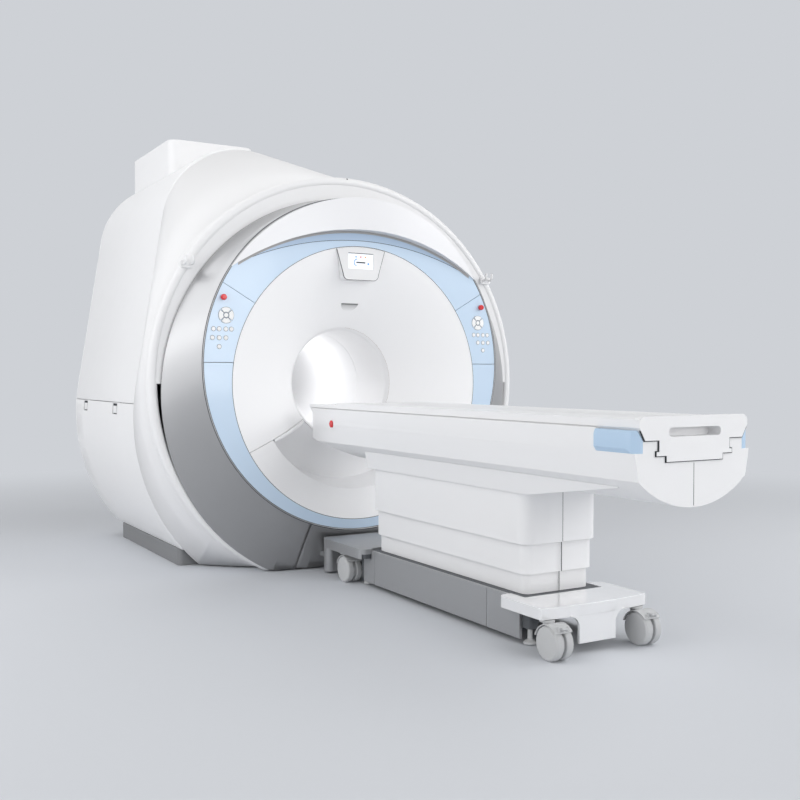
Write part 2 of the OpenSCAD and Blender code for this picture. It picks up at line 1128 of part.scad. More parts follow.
// Outline of the display pod
module pod_outline() {
    intersection() {
        union() {
            polygon([
                [-pod_low, pod_z + pod_corner], [pod_low, pod_z + pod_corner],
                [pod_top, pod_z + 177], [pod_top, pod_z + 300],
                [-pod_top, pod_z + 300], [-pod_top, pod_z + 177]
            ]);
            translate([-pod_low + pod_corner, pod_z])
                square([2 * (pod_low - pod_corner), pod_corner + 1]);
            for (s = [-1, 1]) {
                translate([s * (pod_low - pod_corner), pod_z + pod_corner])
                    circle(r = pod_corner);
            }
        }
        ring_circle(mouth_r - seam, axis_z);
    }
}

// Outline of the screen, grown by g
module screen_outline(g) {
    translate([-screen_half - g, screen_z - g])
        square([2 * screen_half + 2 * g, screen_h + 2 * g]);
}

module display_pod() {
    color("white")
        in_row()
            difference() {
                slab(pod_y, bell_y(mouth_r / 2 + 100))
                    pod_outline();
                turned(axis_z)
                    translate([0, run_gap / 2 - run_gap])
                        behind_bell();
                slab(pod_y - 1, pod_y + screen_t + 3)
                    screen_outline(nest / 2);
            }
}

module display_screen() {
    color("lightcyan")
        in_row()
            slab(pod_y + 3, pod_y + screen_t + 3)
                screen_outline(0);
}

// A two-pronged hook on the rim
module coil_hook(s) {
    hook_turn = 33;
    prong = 7;
    bend = 18;
    color("white")
        in_row()
            on_side(s)
                difference() {
                    translate([rim_r * cos(hook_turn), rim_y, rim_z + rim_r * sin(hook_turn)]) {
                        slab(-rim_tube - 14, 0)
                            round_rect([-36, -20], [36, 20], 14);
                        for (x = [-20, 20]) {
                            translate([x, -rim_tube - 14 - bend, 0]) {
                                slab(0, bend + 4)
                                    circle(r = prong);
                                rotate([0, -90, 0])
                                    rotate([0, 0, 180])
                                        translate([-bend, 0, 0])
                                            rotate_extrude(angle = 90)
                                                translate([bend, 0])
                                                    circle(r = prong, $fn = 24);
                                translate([0, -bend, bend])
                                    cylinder(r = prong, h = 22);
                            }
                        }
                    }
                    turned(rim_z) {
                        translate([rim_r, rim_y])
                            circle(r = rim_tube + run_gap, $fn = 48);
                        translate([rim_r - rim_crescent, rim_y - rim_face_y - run_gap])
                            square([rim_crescent - rim_tuck + run_gap, 2 * rim_tube]);
                    }
                }
}

module coil_hook_left() {
    coil_hook(-1);
}

module coil_hook_right() {
    coil_hook(1);
}

// Table top

// Right half of the cradle's section in X and Z, grown by g
module cradle_half_section(g, top) {
    polygon([
        [-1, keel_z - g], [keel_half + g, keel_z - g], [keel_half + g, flange_z0 - g],
        [flange_half + g, flange_z0 - g], [flange_half + g, flange_z1 + g], [neck_half + g, flange_z1 + g],
        [neck_half + g, flare_z - g], [flare_half + g, flare_z - g], [cradle_half - 2 + g, rim_under - g],
        [cradle_half + (g > 0 ? 40 : 0), rim_under - g], [cradle_half + (g > 0 ? 40 : 0), top], [-1, top]
    ]);
}

module cradle_section(g, top) {
    cradle_half_section(g, top);
    mirror([1, 0])
        cradle_half_section(g, top);
}

module cradle() {
    deck_curve = 800;
    color("white")
        in_row()
            difference() {
                union() {
                    slab(-table_l - 3, cradle_nose)
                        cradle_section(0, cradle_top);
                    slab(-table_l - 6, -table_l - 6 + end_plate_t)
                        difference() {
                            intersection() {
                                cradle_section(0, end_plate_top);
                                translate([-cradle_half, 0])
                                    round_rect([0, 700], [2 * cradle_half, end_plate_top], 26);
                            }
                            below(keel_z);
                        }
                }
                slab(-table_l + end_plate_t, wide)
                    ring_circle(deck_curve, cradle_top - 16 + deck_curve);
                translate([0, cradle_nose - 330, 0])
                    slab(0, wide)
                        above(cradle_top - 12);
                slab(-table_l - 10, -table_l + 50)
                    round_rect([-slot_half, 860], [slot_half, 892], 15);
            }
}

// Section of the table shell before the cradle's guide is cut
module shell_section() {
    intersection() {
        ring_circle(belly_r, belly_z);
        polygon([
            [-shell_half, shell_top], [shell_half, shell_top], [shell_half, bumper_low + 1],
            [crease_half, crease_z], [crease_half, 500], [-crease_half, 500],
            [-crease_half, crease_z], [-shell_half, bumper_low + 1]
        ]);
    }
}

// Space of one corner bumper, grown by g
module bumper_zone(s, g) {
    on_side(s)
        translate([bumper_in - g, -table_l - 1, bumper_low - g])
            cube([100, bumper_l + 1 + g, 100]);
}

// Strips in the guide that the cradle's keel runs on
module glide_strips() {
    for (s = [-1, 1]) {
        translate([s * (keel_half - 22) - 12, -table_l + 20, keel_z - slide_gap - 2])
            cube([24, table_l + nose_in - 120, slide_gap + 2 - run_gap]);
    }
}

module table_shell() {
    nose_r = 90;
    color("white")
        in_row() {
            glide_strips();
            difference() {
                intersection() {
                    slab(-table_l, nose_in)
                        shell_section();
                    translate([0, 0, 500])
                        linear_extrude(500)
                            round_rect([-shell_half, -table_l - 200], [shell_half, nose_in], nose_r);
                }
                slab(-wide, wide)
                    cradle_section(slide_gap, 1000);
                for (s = [-1, 1]) {
                    bumper_zone(s, run_gap / 2);
                    on_side(s)
                        cross_bar(19, shell_half - 24, shell_half + 10, table_stop_y, table_stop_z);
                }
                translate([-wide, -300, belly_z - belly_r - 1])
                    rotate([17, 0, 0])
                        translate([0, 0, -500])
                            cube([2 * wide, 1000, 500]);
            }
        }
}

module bumper(s) {
    color("lightblue")
        in_row()
            on_side(s)
                intersection() {
                    slab(-table_l, -table_l + bumper_l)
                        polygon([
                            [bumper_in, bumper_low], [shell_half - 2, bumper_low],
                            [bumper_out, bumper_low + 16],
                            [bumper_out, shell_top - 20], [bumper_out - 6, shell_top - 4],
                            [flare_half + 28, shell_top - 3], [bumper_in, flare_z]
                        ]);
                    linear_extrude(1000)
                        round_rect([-bumper_out, -table_l], [bumper_out, table_l], 45);
                }
}

module bumper_left() {
    bumper(-1);
}

module bumper_right() {
    bumper(1);
}

// Tray under the shell, which carries the pedestal's upper cover
module lower_shroud() {
    color("white")
        in_row()
            difference() {
                slab(-shroud_foot, -shroud_head)
                    difference() {
                        polygon([
                            [-shroud_half, shroud_top], [-pedestal_half - shroud_lap, shroud_low],
                            [pedestal_half + shroud_lap, shroud_low], [shroud_half, shroud_top]
                        ]);
                        ring_circle(belly_r + run_gap / 2, belly_z);
                    }
                translate([-wide, -pedestal_foot - shroud_flat, shroud_low])
                    rotate([-8.5, 0, 0])
                        translate([0, -1000, -500])
                            cube([2 * wide, 1000, 500]);
            }
}

module table_stop(s) {
    color("red")
        in_row()
            on_side(s)
                translate([shell_half - 18, table_stop_y, table_stop_z])
                    rotate([0, 90, 0])
                        rotate_extrude($fn = 48)
                            polygon([[0, 0], [19 - key_gap, 0], [19 - key_gap, 22], [13, 25], [0, 25]]);
}

module table_stop_left() {
    table_stop(-1);
}

module table_stop_right() {
    table_stop(1);
}

// Table lift

// One pedestal cover: n is its place from the outside, with an outer lip at its top
module pedestal_cover(n, z0, z1) {
    step = n * pedestal_step;
    inner = pedestal_corner - step;
    low = [-pedestal_half + step, -pedestal_foot + step];
    high = [pedestal_half - step, -pedestal_head - step];
    lip = n > 0 ? pedestal_step - pedestal_t - run_gap : 0;
    t = [pedestal_t, pedestal_t];
    l = [lip, lip];
    difference() {
        union() {
            translate([0, 0, z0])
                linear_extrude(z1 - z0)
                    round_rect(low, high, inner);
            translate([0, 0, z1 - 10])
                linear_extrude(10)
                    round_rect(low - l, high + l, inner + lip);
        }
        translate([0, 0, z0 - 1])
            linear_extrude(z1 - z0 + 2)
                round_rect(low + t, high - t, inner - pedestal_t);
    }
}

module pedestal_upper() {
    color("white")
        in_row()
            pedestal_cover(0, upper_edge, shroud_low);
}

module pedestal_middle() {
    color("white")
        in_row()
            pedestal_cover(1, middle_edge, upper_edge + pedestal_lap);
}

module pedestal_lower() {
    color("white")
        in_row()
            pedestal_cover(2, deck_z, middle_edge + pedestal_lap);
}

module lift_cylinder() {
    color("dimgray")
        in_row()
            translate([0, -(pedestal_foot + pedestal_head) / 2, deck_z])
                difference() {
                    cylinder(r = rod_r + 14, h = 195);
                    translate([0, 0, 8])
                        cylinder(r = rod_r + fit_gap, h = 200);
                }
}

module lift_rod() {
    color("silver")
        in_row()
            translate([0, -(pedestal_foot + pedestal_head) / 2, 0]) {
                rod_low = deck_z + lift_travel + 10;
                translate([0, 0, rod_low])
                    cylinder(r = rod_r, h = shroud_low - rod_low);
            }
}

// Table base

module base_frame() {
    color("slategray")
        in_row()
            difference() {
                union() {
                    translate([0, 0, frame_z])
                        linear_extrude(plate_z - frame_z)
                            round_rect([-waist_half, -base_foot], [waist_half, -base_head], 12);
                    translate([0, 0, plate_z - end_t])
                        linear_extrude(end_t) {
                            round_rect(
                                [-end_half + end_in, -foot_front + end_in + 3],
                                [end_half - end_in, -foot_back - 3], 25
                            );
                            round_rect(
                                [-end_half + end_in, -dock_back + 2],
                                [end_half - end_in, -dock_front - end_in - 3], 25
                            );
                        }
                    translate([0, 0, plate_z - 1])
                        linear_extrude(deck_z - plate_z + 1)
                            round_rect([-waist_half, -deck_foot], [waist_half, -deck_head], 12);
                }
                for (x = [-caster_x, caster_x]) {
                    for (y = [-foot_wheel + trail, -head_wheel + trail]) {
                        translate([x, y, 0])
                            cylinder(r = stem_r + fit_gap, h = plate_z - 4, $fn = 48);
                    }
                }
                slab(-base_foot - 30, -base_foot + 170)
                    round_rect([-arch_half, frame_z - arch_h], [arch_half, frame_z + arch_h], 30);
            }
}

// A side cover of the base with its two joint lines
module side_panel(s) {
    color("silver")
        in_row()
            on_side(s)
                difference() {
                    translate([waist_half + nest, -side_foot, side_low])
                        cube([side_t, side_foot - side_head, deck_z - side_low]);
                    for (y = [-pedestal_foot + side_joint_foot, -pedestal_head - side_joint_head]) {
                        translate([waist_half + nest + side_t - seam, y, 0])
                            cube([2 * seam, seam, deck_z + 1]);
                    }
                    for (y = [-foot_back - side_room, -dock_back - seam]) {
                        translate([waist_half - 1, y, lip_low - 1])
                            cube([2 * side_t, side_room + seam, 100]);
                    }
                }
}

module side_panel_left() {
    side_panel(-1);
}

module side_panel_right() {
    side_panel(1);
}

// Foot plate with its lip, its drop skirt and the wheel arches
module foot_plate() {
    bow = 1900;
    color("silver")
        in_row() {
            difference() {
                translate([0, 0, lip_low])
                    linear_extrude(deck_z + 2 - lip_low)
                        intersection() {
                            round_rect([-end_half, -foot_front], [end_half, -foot_back], 38);
                            translate([0, bow - foot_front])
                                circle(r = bow, $fn = 360);
                        }
                translate([0, 0, lip_low - 1])
                    linear_extrude(plate_z + run_gap / 2 - lip_low + 1)
                        round_rect(
                            [-end_half + lip_t, -foot_front + lip_t + 5],
                            [end_half - lip_t, -foot_back + 47], 26
                        );
                translate([-waist_half - 1, -deck_foot - 1, 0])
                    cube([2 * waist_half + 2, side_room, 300]);
            }
            slab(-foot_front + 3, -foot_front + end_in + 2)
                intersection() {
                    difference() {
                        translate([-skirt_half - arch_r, skirt_low])
                            square([2 * skirt_half + 2 * arch_r, lip_low + 6 - skirt_low]);
                        for (s = [-1, 1]) {
                            translate([s * (skirt_half + arch_r), lip_low - arch_r])
                                circle(r = arch_r);
                            translate([s * (skirt_half + arch_r) - arch_r, 0])
                                square([2 * arch_r, lip_low - arch_r]);
                        }
                    }
                    above(skirt_low);
                }
        }
}

// Cover of the docking end, with two legs that straddle the latch
module dock_end_cover() {
    color("silver")
        in_row() {
            dock_pins(0, silver_y / 2 + 30, 0);
            difference() {
                union() {
                    translate([0, 0, lip_low])
                        linear_extrude(deck_z + 8 - lip_low)
                            round_rect([-end_half, -dock_back], [end_half, -dock_front], 38);
                    translate([0, 0, leg_low])
                        linear_extrude(deck_z - leg_low)
                            round_rect([-leg_half, -dock_front - 8], [leg_half, 4], 34);
                }
                translate([0, 0, lip_low - 1])
                    linear_extrude(plate_z + run_gap / 2 - lip_low + 1)
                        round_rect(
                            [-end_half + lip_t, -dock_back - 40],
                            [end_half - lip_t, -dock_front - lip_t - 2], 26
                        );
                translate([-waist_half - 1, -dock_back - 40, 0])
                    cube([2 * waist_half + 2, dock_back + 40 - deck_head + 4, 300]);
                slab(-dock_front - 26, 10)
                    round_rect([-mouth_half, -60], [mouth_half, mouth_h], 60);
                translate([-leg_half + lip_t + 2, -dock_front + 4, 0])
                    cube([2 * (leg_half - lip_t - 2), dock_front - 12, lip_low]);
            }
        }
}

module levelling_feet() {
    color("dimgray")
        in_row()
            for (x = [-waist_half + foot_in, waist_half - foot_in]) {
                for (y = [-base_foot + foot_in + 7, -base_head - foot_in - 6]) {
                    translate([x, y, 0])
                        rotate_extrude($fn = 48)
                            polygon([
                                [0, 6], [foot_r, 6], [foot_r, 14], [foot_stem, 24],
                                [foot_stem, frame_z - run_gap / 2], [0, frame_z - run_gap / 2]
                            ]);
                }
            }
}

// Casters

// Draws at a caster's stem, s is the side and foot is the wheel's distance
module at_caster(s, wheel) {
    in_row()
        translate([s * caster_x, -wheel + trail, 0])
            children();
}

// A swivel housing: centre web, fender, head and stem
module caster_housing(pedal) {
    difference() {
        union() {
            translate([-web_t / 2, 0, 0])
                rotate([90, 0, 90])
                    linear_extrude(web_t) {
                        translate([-trail, wheel_r])
                            circle(r = wheel_r - 14);
                        translate([-trail - 10, wheel_r])
                            square([trail + 30, caster_top - wheel_r - 8]);
                    }
            translate([-wheel_w / 2, 0, 0])
                rotate([90, 0, 90])
                    linear_extrude(wheel_w)
                        intersection() {
                            translate([-trail, wheel_r])
                                difference() {
                                    circle(r = wheel_r + fender_gap + fender_t);
                                    circle(r = wheel_r + fender_gap);
                                }
                            translate([-trail - 52, wheel_r + 20])
                                square([130, 100]);
                        }
            translate([0, 0, caster_top - 9])
                cylinder(r = 30, h = 9);
            translate([0, 0, caster_top - 9])
                cylinder(r = stem_r, h = plate_z - 6 - caster_top + 9, $fn = 48);
            if (pedal) {
                cross_bar(pedal_pin, -22, 22, -trail - pedal_y, pedal_z);
                for (x = [-22, 16]) {
                    translate([x, -trail - pedal_y - 6, pedal_z - 14])
                        cube([6, 12, 19]);
                }
            }
        }
        cross_bar(axle_r + fit_gap, -wheel_w, wheel_w, -trail, wheel_r);
        cross_bar(wheel_r + fender_gap, -web_t / 2 - 60, -web_t / 2, -trail, wheel_r);
        cross_bar(wheel_r + fender_gap, web_t / 2, web_t / 2 + 60, -trail, wheel_r);
    }
}

// A pair of wheels on their axle
module caster_wheels() {
    out = wheel_w / 2;
    in = web_t / 2 + web_gap;
    translate([0, -trail, wheel_r])
        rotate([0, 90, 0]) {
            for (s = [0, 1]) {
                mirror([0, 0, s])
                    rotate_extrude()
                        polygon([
                            [axle_r - 1, in], [wheel_r - 3, in], [wheel_r, in + 3], [wheel_r, out - 7],
                            [wheel_r - 7, out], [axle_r - 1, out]
                        ]);
            }
            translate([0, 0, -out])
                cylinder(r = axle_r, h = wheel_w, $fn = 48);
        }
}

// A brake tab on its pin
module brake_pedal() {
    translate([0, -trail - pedal_y, pedal_z])
        difference() {
            union() {
                cross_bar(5, -15.5, 15.5, 0, 0);
                translate([-15.5, -pedal_l, -3])
                    cube([31, pedal_l, 6]);
            }
            cross_bar(pedal_pin + fit_gap, -20, 20, 0, 0);
        }
}

module caster_foot_left() {
    color("lightgray")
        at_caster(-1, foot_wheel)
            caster_housing(true);
}

module caster_foot_right() {
    color("lightgray")
        at_caster(1, foot_wheel)
            caster_housing(true);
}

module caster_head_left() {
    color("lightgray")
        at_caster(-1, head_wheel)
            caster_housing(false);
}

module caster_head_right() {
    color("lightgray")
        at_caster(1, head_wheel)
            caster_housing(false);
}

module wheels_foot_left() {
    color("darkgray")
        at_caster(-1, foot_wheel)
            caster_wheels();
}

module wheels_foot_right() {
    color("darkgray")
        at_caster(1, foot_wheel)
            caster_wheels();
}

module wheels_head_left() {
    color("darkgray")
        at_caster(-1, head_wheel)
            caster_wheels();
}

module wheels_head_right() {
    color("darkgray")
        at_caster(1, head_wheel)
            caster_wheels();
}

module brake_pedal_left() {
    color("gray")
        at_caster(-1, foot_wheel)
            brake_pedal();
}

module brake_pedal_right() {
    color("gray")
        at_caster(1, foot_wheel)
            brake_pedal();
}

plinth();
magnet_vessel();
cold_head();
gradient_coil();
transmit_coil();
bore_liner();
bore_bridge();
funnel_upper();
funnel_lower();
panel_upper();
control_panel_left();
control_panel_right();
panel_lower();
silver_ring();
dock_panel();
brow();
front_rim();
upper_cover();
lower_cover_left();
lower_cover_right();
rear_cover();
turret_cover();
display_pod();
display_screen();
coil_hook_left();
coil_hook_right();
stop_button_left();
stop_button_right();
jog_pad_left();
jog_pad_right();
keypad_left();
keypad_right();
base_frame();
side_panel_left();
side_panel_right();
foot_plate();
dock_end_cover();
levelling_feet();
pedestal_lower();
pedestal_middle();
pedestal_upper();
lift_cylinder();
lift_rod();
table_shell();
lower_shroud();
bumper_left();
bumper_right();
cradle();
table_stop_left();
table_stop_right();
caster_foot_left();
caster_foot_right();
caster_head_left();
caster_head_right();
wheels_foot_left();
wheels_foot_right();
wheels_head_left();
wheels_head_right();
brake_pedal_left();
brake_pedal_right();
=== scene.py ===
"""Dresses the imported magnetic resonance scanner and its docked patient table, and sets the stage."""

import json
import math

import bmesh
import bpy
from bpy.props import FloatProperty, FloatVectorProperty, PointerProperty
from mathutils import Matrix, Vector

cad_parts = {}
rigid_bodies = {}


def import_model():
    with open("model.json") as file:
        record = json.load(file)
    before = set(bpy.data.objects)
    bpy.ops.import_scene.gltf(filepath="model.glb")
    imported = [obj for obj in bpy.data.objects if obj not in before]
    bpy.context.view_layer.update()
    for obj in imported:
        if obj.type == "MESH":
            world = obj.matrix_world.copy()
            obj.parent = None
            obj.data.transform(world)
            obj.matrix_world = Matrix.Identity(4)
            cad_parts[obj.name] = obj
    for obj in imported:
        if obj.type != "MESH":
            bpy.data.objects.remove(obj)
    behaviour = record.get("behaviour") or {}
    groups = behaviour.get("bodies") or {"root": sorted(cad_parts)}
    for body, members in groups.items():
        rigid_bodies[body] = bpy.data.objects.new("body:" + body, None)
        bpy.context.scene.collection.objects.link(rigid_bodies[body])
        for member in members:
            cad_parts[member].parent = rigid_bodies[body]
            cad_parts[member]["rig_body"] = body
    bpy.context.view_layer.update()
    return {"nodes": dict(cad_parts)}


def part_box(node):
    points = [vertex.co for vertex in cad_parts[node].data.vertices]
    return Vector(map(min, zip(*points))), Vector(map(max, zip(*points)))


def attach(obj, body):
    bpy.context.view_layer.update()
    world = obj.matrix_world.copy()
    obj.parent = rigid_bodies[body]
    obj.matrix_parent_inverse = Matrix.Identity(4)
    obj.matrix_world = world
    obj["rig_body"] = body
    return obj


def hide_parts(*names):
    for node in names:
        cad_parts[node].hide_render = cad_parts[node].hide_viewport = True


bl_info = {
    "name": "MRI scanner",
    "version": (1, 0, 0),
    "blender": (4, 5, 0),
    "location": "View3D > Sidebar > Scanner",
    "description": "Builds the covers, rings, table and stage of an MRI scanner round its CAD frame",
    "category": "Object",
}

MM = 0.001
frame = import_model()
NODES = frame["nodes"]
# Depths in this file are from the front panels' face and heights are from the floor, as in the CAD source.
FACE_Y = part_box("panel_upper")[0].y
AXIS_Z = sum(corner.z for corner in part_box("bore_liner")) / 2
# Points closer than this are one point: in a swept shape, and in a CAD node's loose triangles.
SWEEP_WELD = 0.001 * MM
CAD_WELD = 0.02 * MM


def linear(code):
    """An sRGB hex colour as the linear colour that shaders take."""
    parts = [int(code[i : i + 2], 16) / 255 for i in (1, 3, 5)]
    return [c / 12.92 if c <= 0.04045 else ((c + 0.055) / 1.055) ** 2.4 for c in parts]


def length(name, millimetres, description):
    """A length property with its default in millimetres."""
    return FloatProperty(name=name, description=description, default=millimetres * MM, unit="LENGTH")


def tint(name, code, description):
    """A colour property with its default as an sRGB hex value."""
    return FloatVectorProperty(name=name, description=description, default=linear(code), subtype="COLOR")


class CoverSizes(bpy.types.PropertyGroup):
    """Sizes of the white covers and the rim."""

    body_radius: length("Body radius", 1116, "Radius of the lower part of the covers' outline")
    body_height: length("Body height", 820, "Height of the centre of the body radius")
    hood_radius: length("Hood radius", 472, "Radius of the hood over the service side")
    hood_side: length("Hood offset", -478, "Sideways place of the hood's centre")
    hood_height: length("Hood height", 1880, "Height of the hood's centre")
    front: length("Cover front", 530, "Depth of the covers' front edge")
    back: length("Cover back", 1878, "Depth of the covers' back edge")
    split: length("Cover split", 911, "Height of the gap between the upper and lower covers")
    gap: length("Split gap", 3, "Width of the gap between covers")
    wall: length("Cover wall", 12, "Thickness of the covers")
    edge: length("Cover edge", 16, "Size of the round edge between fairing and covers")
    rim_radius: length("Rim radius", 1116, "Radius of the white rim to the middle of its tube")
    rim_tube: length("Rim tube", 28, "Radius of the rim's tube")
    rim_depth: length("Rim depth", 182, "Depth of the middle of the rim's tube")
    rim_rise: length("Rim rise", 10, "Rise of the rim's circle over the bore axis")
    flat_reach: length("Flat reach", 110, "Reach of the rim's flat face inwards from the middle of its tube")
    flat_lap: length("Flat lap", 8, "Width of the rim's tube that covers the flat face")
    flat_set: length("Flat set", 22, "Set of the flat face before the middle of the rim's tube")
    collar_out: length("Collar radius", 20, "Reach of the collar behind the rim beyond the rim's radius")
    collar_set: length("Collar set", 8, "Depth of the collar's front behind the middle of the rim's tube")
    collar_length: length("Collar length", 88, "Length of the collar behind the rim")
    fairing_set: length("Fairing set", 106, "Depth of the fairing's front behind the rim's middle")
    fairing_tuck: length("Fairing tuck", 2, "Set of the fairing's front below the outside of the rim's tube")
    fairing_wall: length("Fairing wall", 10, "Thickness of the fairing")
    floor_gap: length("Floor gap", 8, "Clearance of the covers over the floor")


class RingSizes(bpy.types.PropertyGroup):
    """Sizes of the silver ring and the front panels."""

    panel_radius: length("Panel radius", 905, "Outer radius of the coloured front panels")
    panel_rise: length("Panel rise", 100, "Rise of the panels' circle over the bore axis")
    ring_radius: length("Ring radius", 1077, "Outer radius of the silver ring")
    ring_drop: length("Ring drop", 53, "Drop of the silver ring's circle below the bore axis")
    ring_depth: length("Ring depth", 152, "Depth of the silver ring's outer edge")
    ring_wall: length("Ring wall", 8, "Thickness of the silver ring")
    ring_lip: length("Ring lip", 6, "Width of the silver ring's rolled inner lip")
    trim: length("Trim lip", 3, "Radius of the trim lip round the panels")
    trim_out: length("Trim offset", 1.2, "Offset of the trim lip's middle from the panels' edge")
    brow_radius: length("Brow radius", 1336, "Radius of the brow's lower edge")
    brow_height: length("Brow height", 520, "Height of the centre of the brow's lower edge")
    # The brow's underside is drawn as a grey strip of painted shade on the panels.
    brow_under: length("Brow underside", 13, "Height of the brow's underside that shows")
    # The inlay is a band of painted shade: the panels' blue darkened under the brow, with a dark joint line
    # along its lower edge.
    brow_tuck: length("Brow tuck", 4, "Height of the inlay that the brow covers")
    shade_band_radius: length("Inlay radius", 1705, "Radius of the lower edge of the inlay under the brow")
    shade_band_height: length("Inlay height", 100, "Height of the centre of the inlay's lower edge")
    shade_band_half: length("Inlay half width", 715, "Half width of the inlay under the brow")
    mouth_radius: length("Mouth radius", 748, "Radius of the funnel's mouth")
    bore_radius: length("Bore radius", 300, "Radius of the bore")
    funnel_depth: length("Funnel depth", 253, "Depth at which the funnel's curve meets the bore")
    funnel_curve: length("Funnel curve", 960, "Radius of the funnel's curve")
    notch_half: length("Notch half width", 53, "Half width of the recess over the bore")
    notch_fall: length("Notch fall", 42, "Height of the recess over the bore")
    notch_height: length("Notch height", 1469, "Height of the recess's straight upper edge")
    joint: length("Joint line", 2.4, "Width of drawn joint lines")
    dock_half: length("Dock half width", 300, "Half width of the dock panel at its upper corners")
    dock_rise: length("Dock rise", 40, "Height over its upper corners that the dock panel reaches")
    dock_slope: FloatProperty(
        name="Dock slope", description="Sideways lean of the dock panel's joints", default=0.167
    )
    seam: length("Seam", 3, "Width of the joints beside the dock panel")


class DetailSizes(bpy.types.PropertyGroup):
    """Sizes of the latches, the display pod, the softened edges and the small details."""

    latch_front: length("Front latch", 913, "Depth of the middle of the front latches")
    latch_back: length("Back latch", 1620, "Depth of the middle of the back latches")
    pocket_half: length("Pocket half width", 48, "Half width of a latch pocket")
    pocket_head: length("Pocket head", 6, "Drop of a latch pocket's upper edge below the split")
    pocket_foot: length("Pocket foot", 70, "Drop of a latch pocket's lower edge below the split")
    pocket_depth: length("Pocket depth", 8, "Depth of a latch pocket in the covers")
    # The pocket's dark floor is painted shade
    pocket_inset: length("Pocket inset", 2, "Set of the pocket's dark floor inside its edges")
    clip_half: length("Clip half width", 33, "Half width of a latch clip")
    clip_head: length("Clip head", 20, "Drop of a latch clip's upper edge below the split")
    clip_foot: length("Clip foot", 62, "Drop of a latch clip's lower edge below the split")
    pod_foot: length("Pod foot", 109, "Half width of the display pod's lower end")
    pod_head: length("Pod head", 149, "Half width of the display pod's upper end")
    pod_corner: length("Pod corner", 30, "Radius of the display pod's lower corners")
    pod_side: length("Pod side", 165, "Height of the display pod's sides over its lower end")
    pod_mouth: length("Pod mouth", 745, "Radius of the display pod's upper edge about the bore axis")
    marker: length("Rim marker", 5, "Radius of the marker on the rim")
    shell_joint_foot: length("Shell joint foot", 6, "Height of the joint line's lower end on the shell")
    shell_joint_head: length("Shell joint head", 154, "Height of the joint line's upper end on the shell")
    axle_radius: length("Axle radius", 6, "Radius of the caster axles")
    small_edge: length("Small edge", 3, "Round edge of the large mouldings and plates")
    fine_edge: length("Fine edge", 1.2, "Round edge of the pedestal covers, side panels, casters and pedals")


class ScannerColours(bpy.types.PropertyGroup):
    """Colours of the finishes."""

    cover_white: tint("Cover white", "#F0F0F1", "Sprayed covers")
    trim_white: tint("Trim white", "#ECECED", "Moulded white trim")
    funnel_white: tint("Funnel white", "#F9F9FA", "Funnel covers")
    panel_blue: tint("Panel blue", "#CBDFF3", "Front panels")
    bumper_blue: tint("Bumper blue", "#B9D2EA", "Corner bumpers")
    ring_silver: tint("Ring silver", "#AFAFB0", "Silver ring")
    brow_silver: tint("Brow silver", "#E7E7E9", "Brow over the panels")
    base_silver: tint("Base silver", "#A6A7A9", "Base covers")
    plate_silver: tint("Plate silver", "#F8F8F9", "Polished foot plate")
    # Painted shade: the panels' blue darkened where the brow shades them
    inlay_blue: tint("Inlay blue", "#B5CBE3", "Inlay under the brow")
    plinth_grey: tint("Plinth grey", "#818284", "Plinth under the magnet")
    frame_grey: tint("Frame grey", "#55585C", "Painted frame inside the base")
    caster_grey: tint("Caster grey", "#C4C5C6", "Caster housings")
    wheel_grey: tint("Wheel grey", "#C0C1C2", "Caster wheels")
    stop_red: tint("Stop red", "#D8242B", "Stop buttons")
    gap_dark: tint("Gap dark", "#3C3F43", "Shadow gaps and pockets")


class StageSizes(bpy.types.PropertyGroup):
    """Camera, floor and light of the picture."""

    camera_place: FloatVectorProperty(
        name="Camera", description="Place of the camera", default=(-2.6113, -4.6103, 1.0714), subtype="XYZ"
    )
    camera_turn: FloatProperty(
        name="Camera turn",
        description="Turn of the view from the bore's axis",
        default=math.radians(30.38),
        unit="ROTATION",
    )
    camera_tilt: FloatProperty(
        name="Camera tilt",
        description="Tilt of the view below the horizon",
        default=math.radians(1.47),
        unit="ROTATION",
    )
    lens: FloatProperty(name="Lens", description="Focal length in millimetres", default=45.11)
    sensor: FloatProperty(name="Sensor", description="Width of the sensor in millimetres", default=36)
    floor_radius: length("Floor radius", 40000, "Radius of the floor")
    fade_start: length("Fade start", 2600, "Distance at which the floor begins to run into the backdrop")
    fade_end: length("Fade end", 7000, "Distance from which the floor is as bright as the backdrop")
    sky_low: FloatProperty(name="Low light", description="Strength of the light near the floor", default=0.74)
    sky_high: FloatProperty(name="High light", description="Strength of the light overhead", default=0.22)
    backdrop: tint("Backdrop", "#CED1D6", "Colour of the backdrop")
    floor_tint: tint("Floor", "#D7DADF", "Colour of the floor")


def sizes(group):
    """The scene's settings of one group."""
    return getattr(bpy.context.scene, "scanner_" + group)


def add_node(tree, kind, settings=(), inputs=(), links=()):
    """Adds a node, sets its properties and sockets, and links other nodes' sockets into it."""
    node = tree.nodes.new(kind)
    for key, value in dict(settings).items():
        setattr(node, key, value)
    for key, value in dict(inputs).items():
        node.inputs[key].default_value = value
    for key, socket in dict(links).items():
        tree.links.new(socket, node.inputs[key])
    return node


# How rough the clear coats are, and the part of a noise texture's range that its values fill
COAT_ROUGHNESS = 0.08
NOISE_RANGE = (0.3, 0.7)
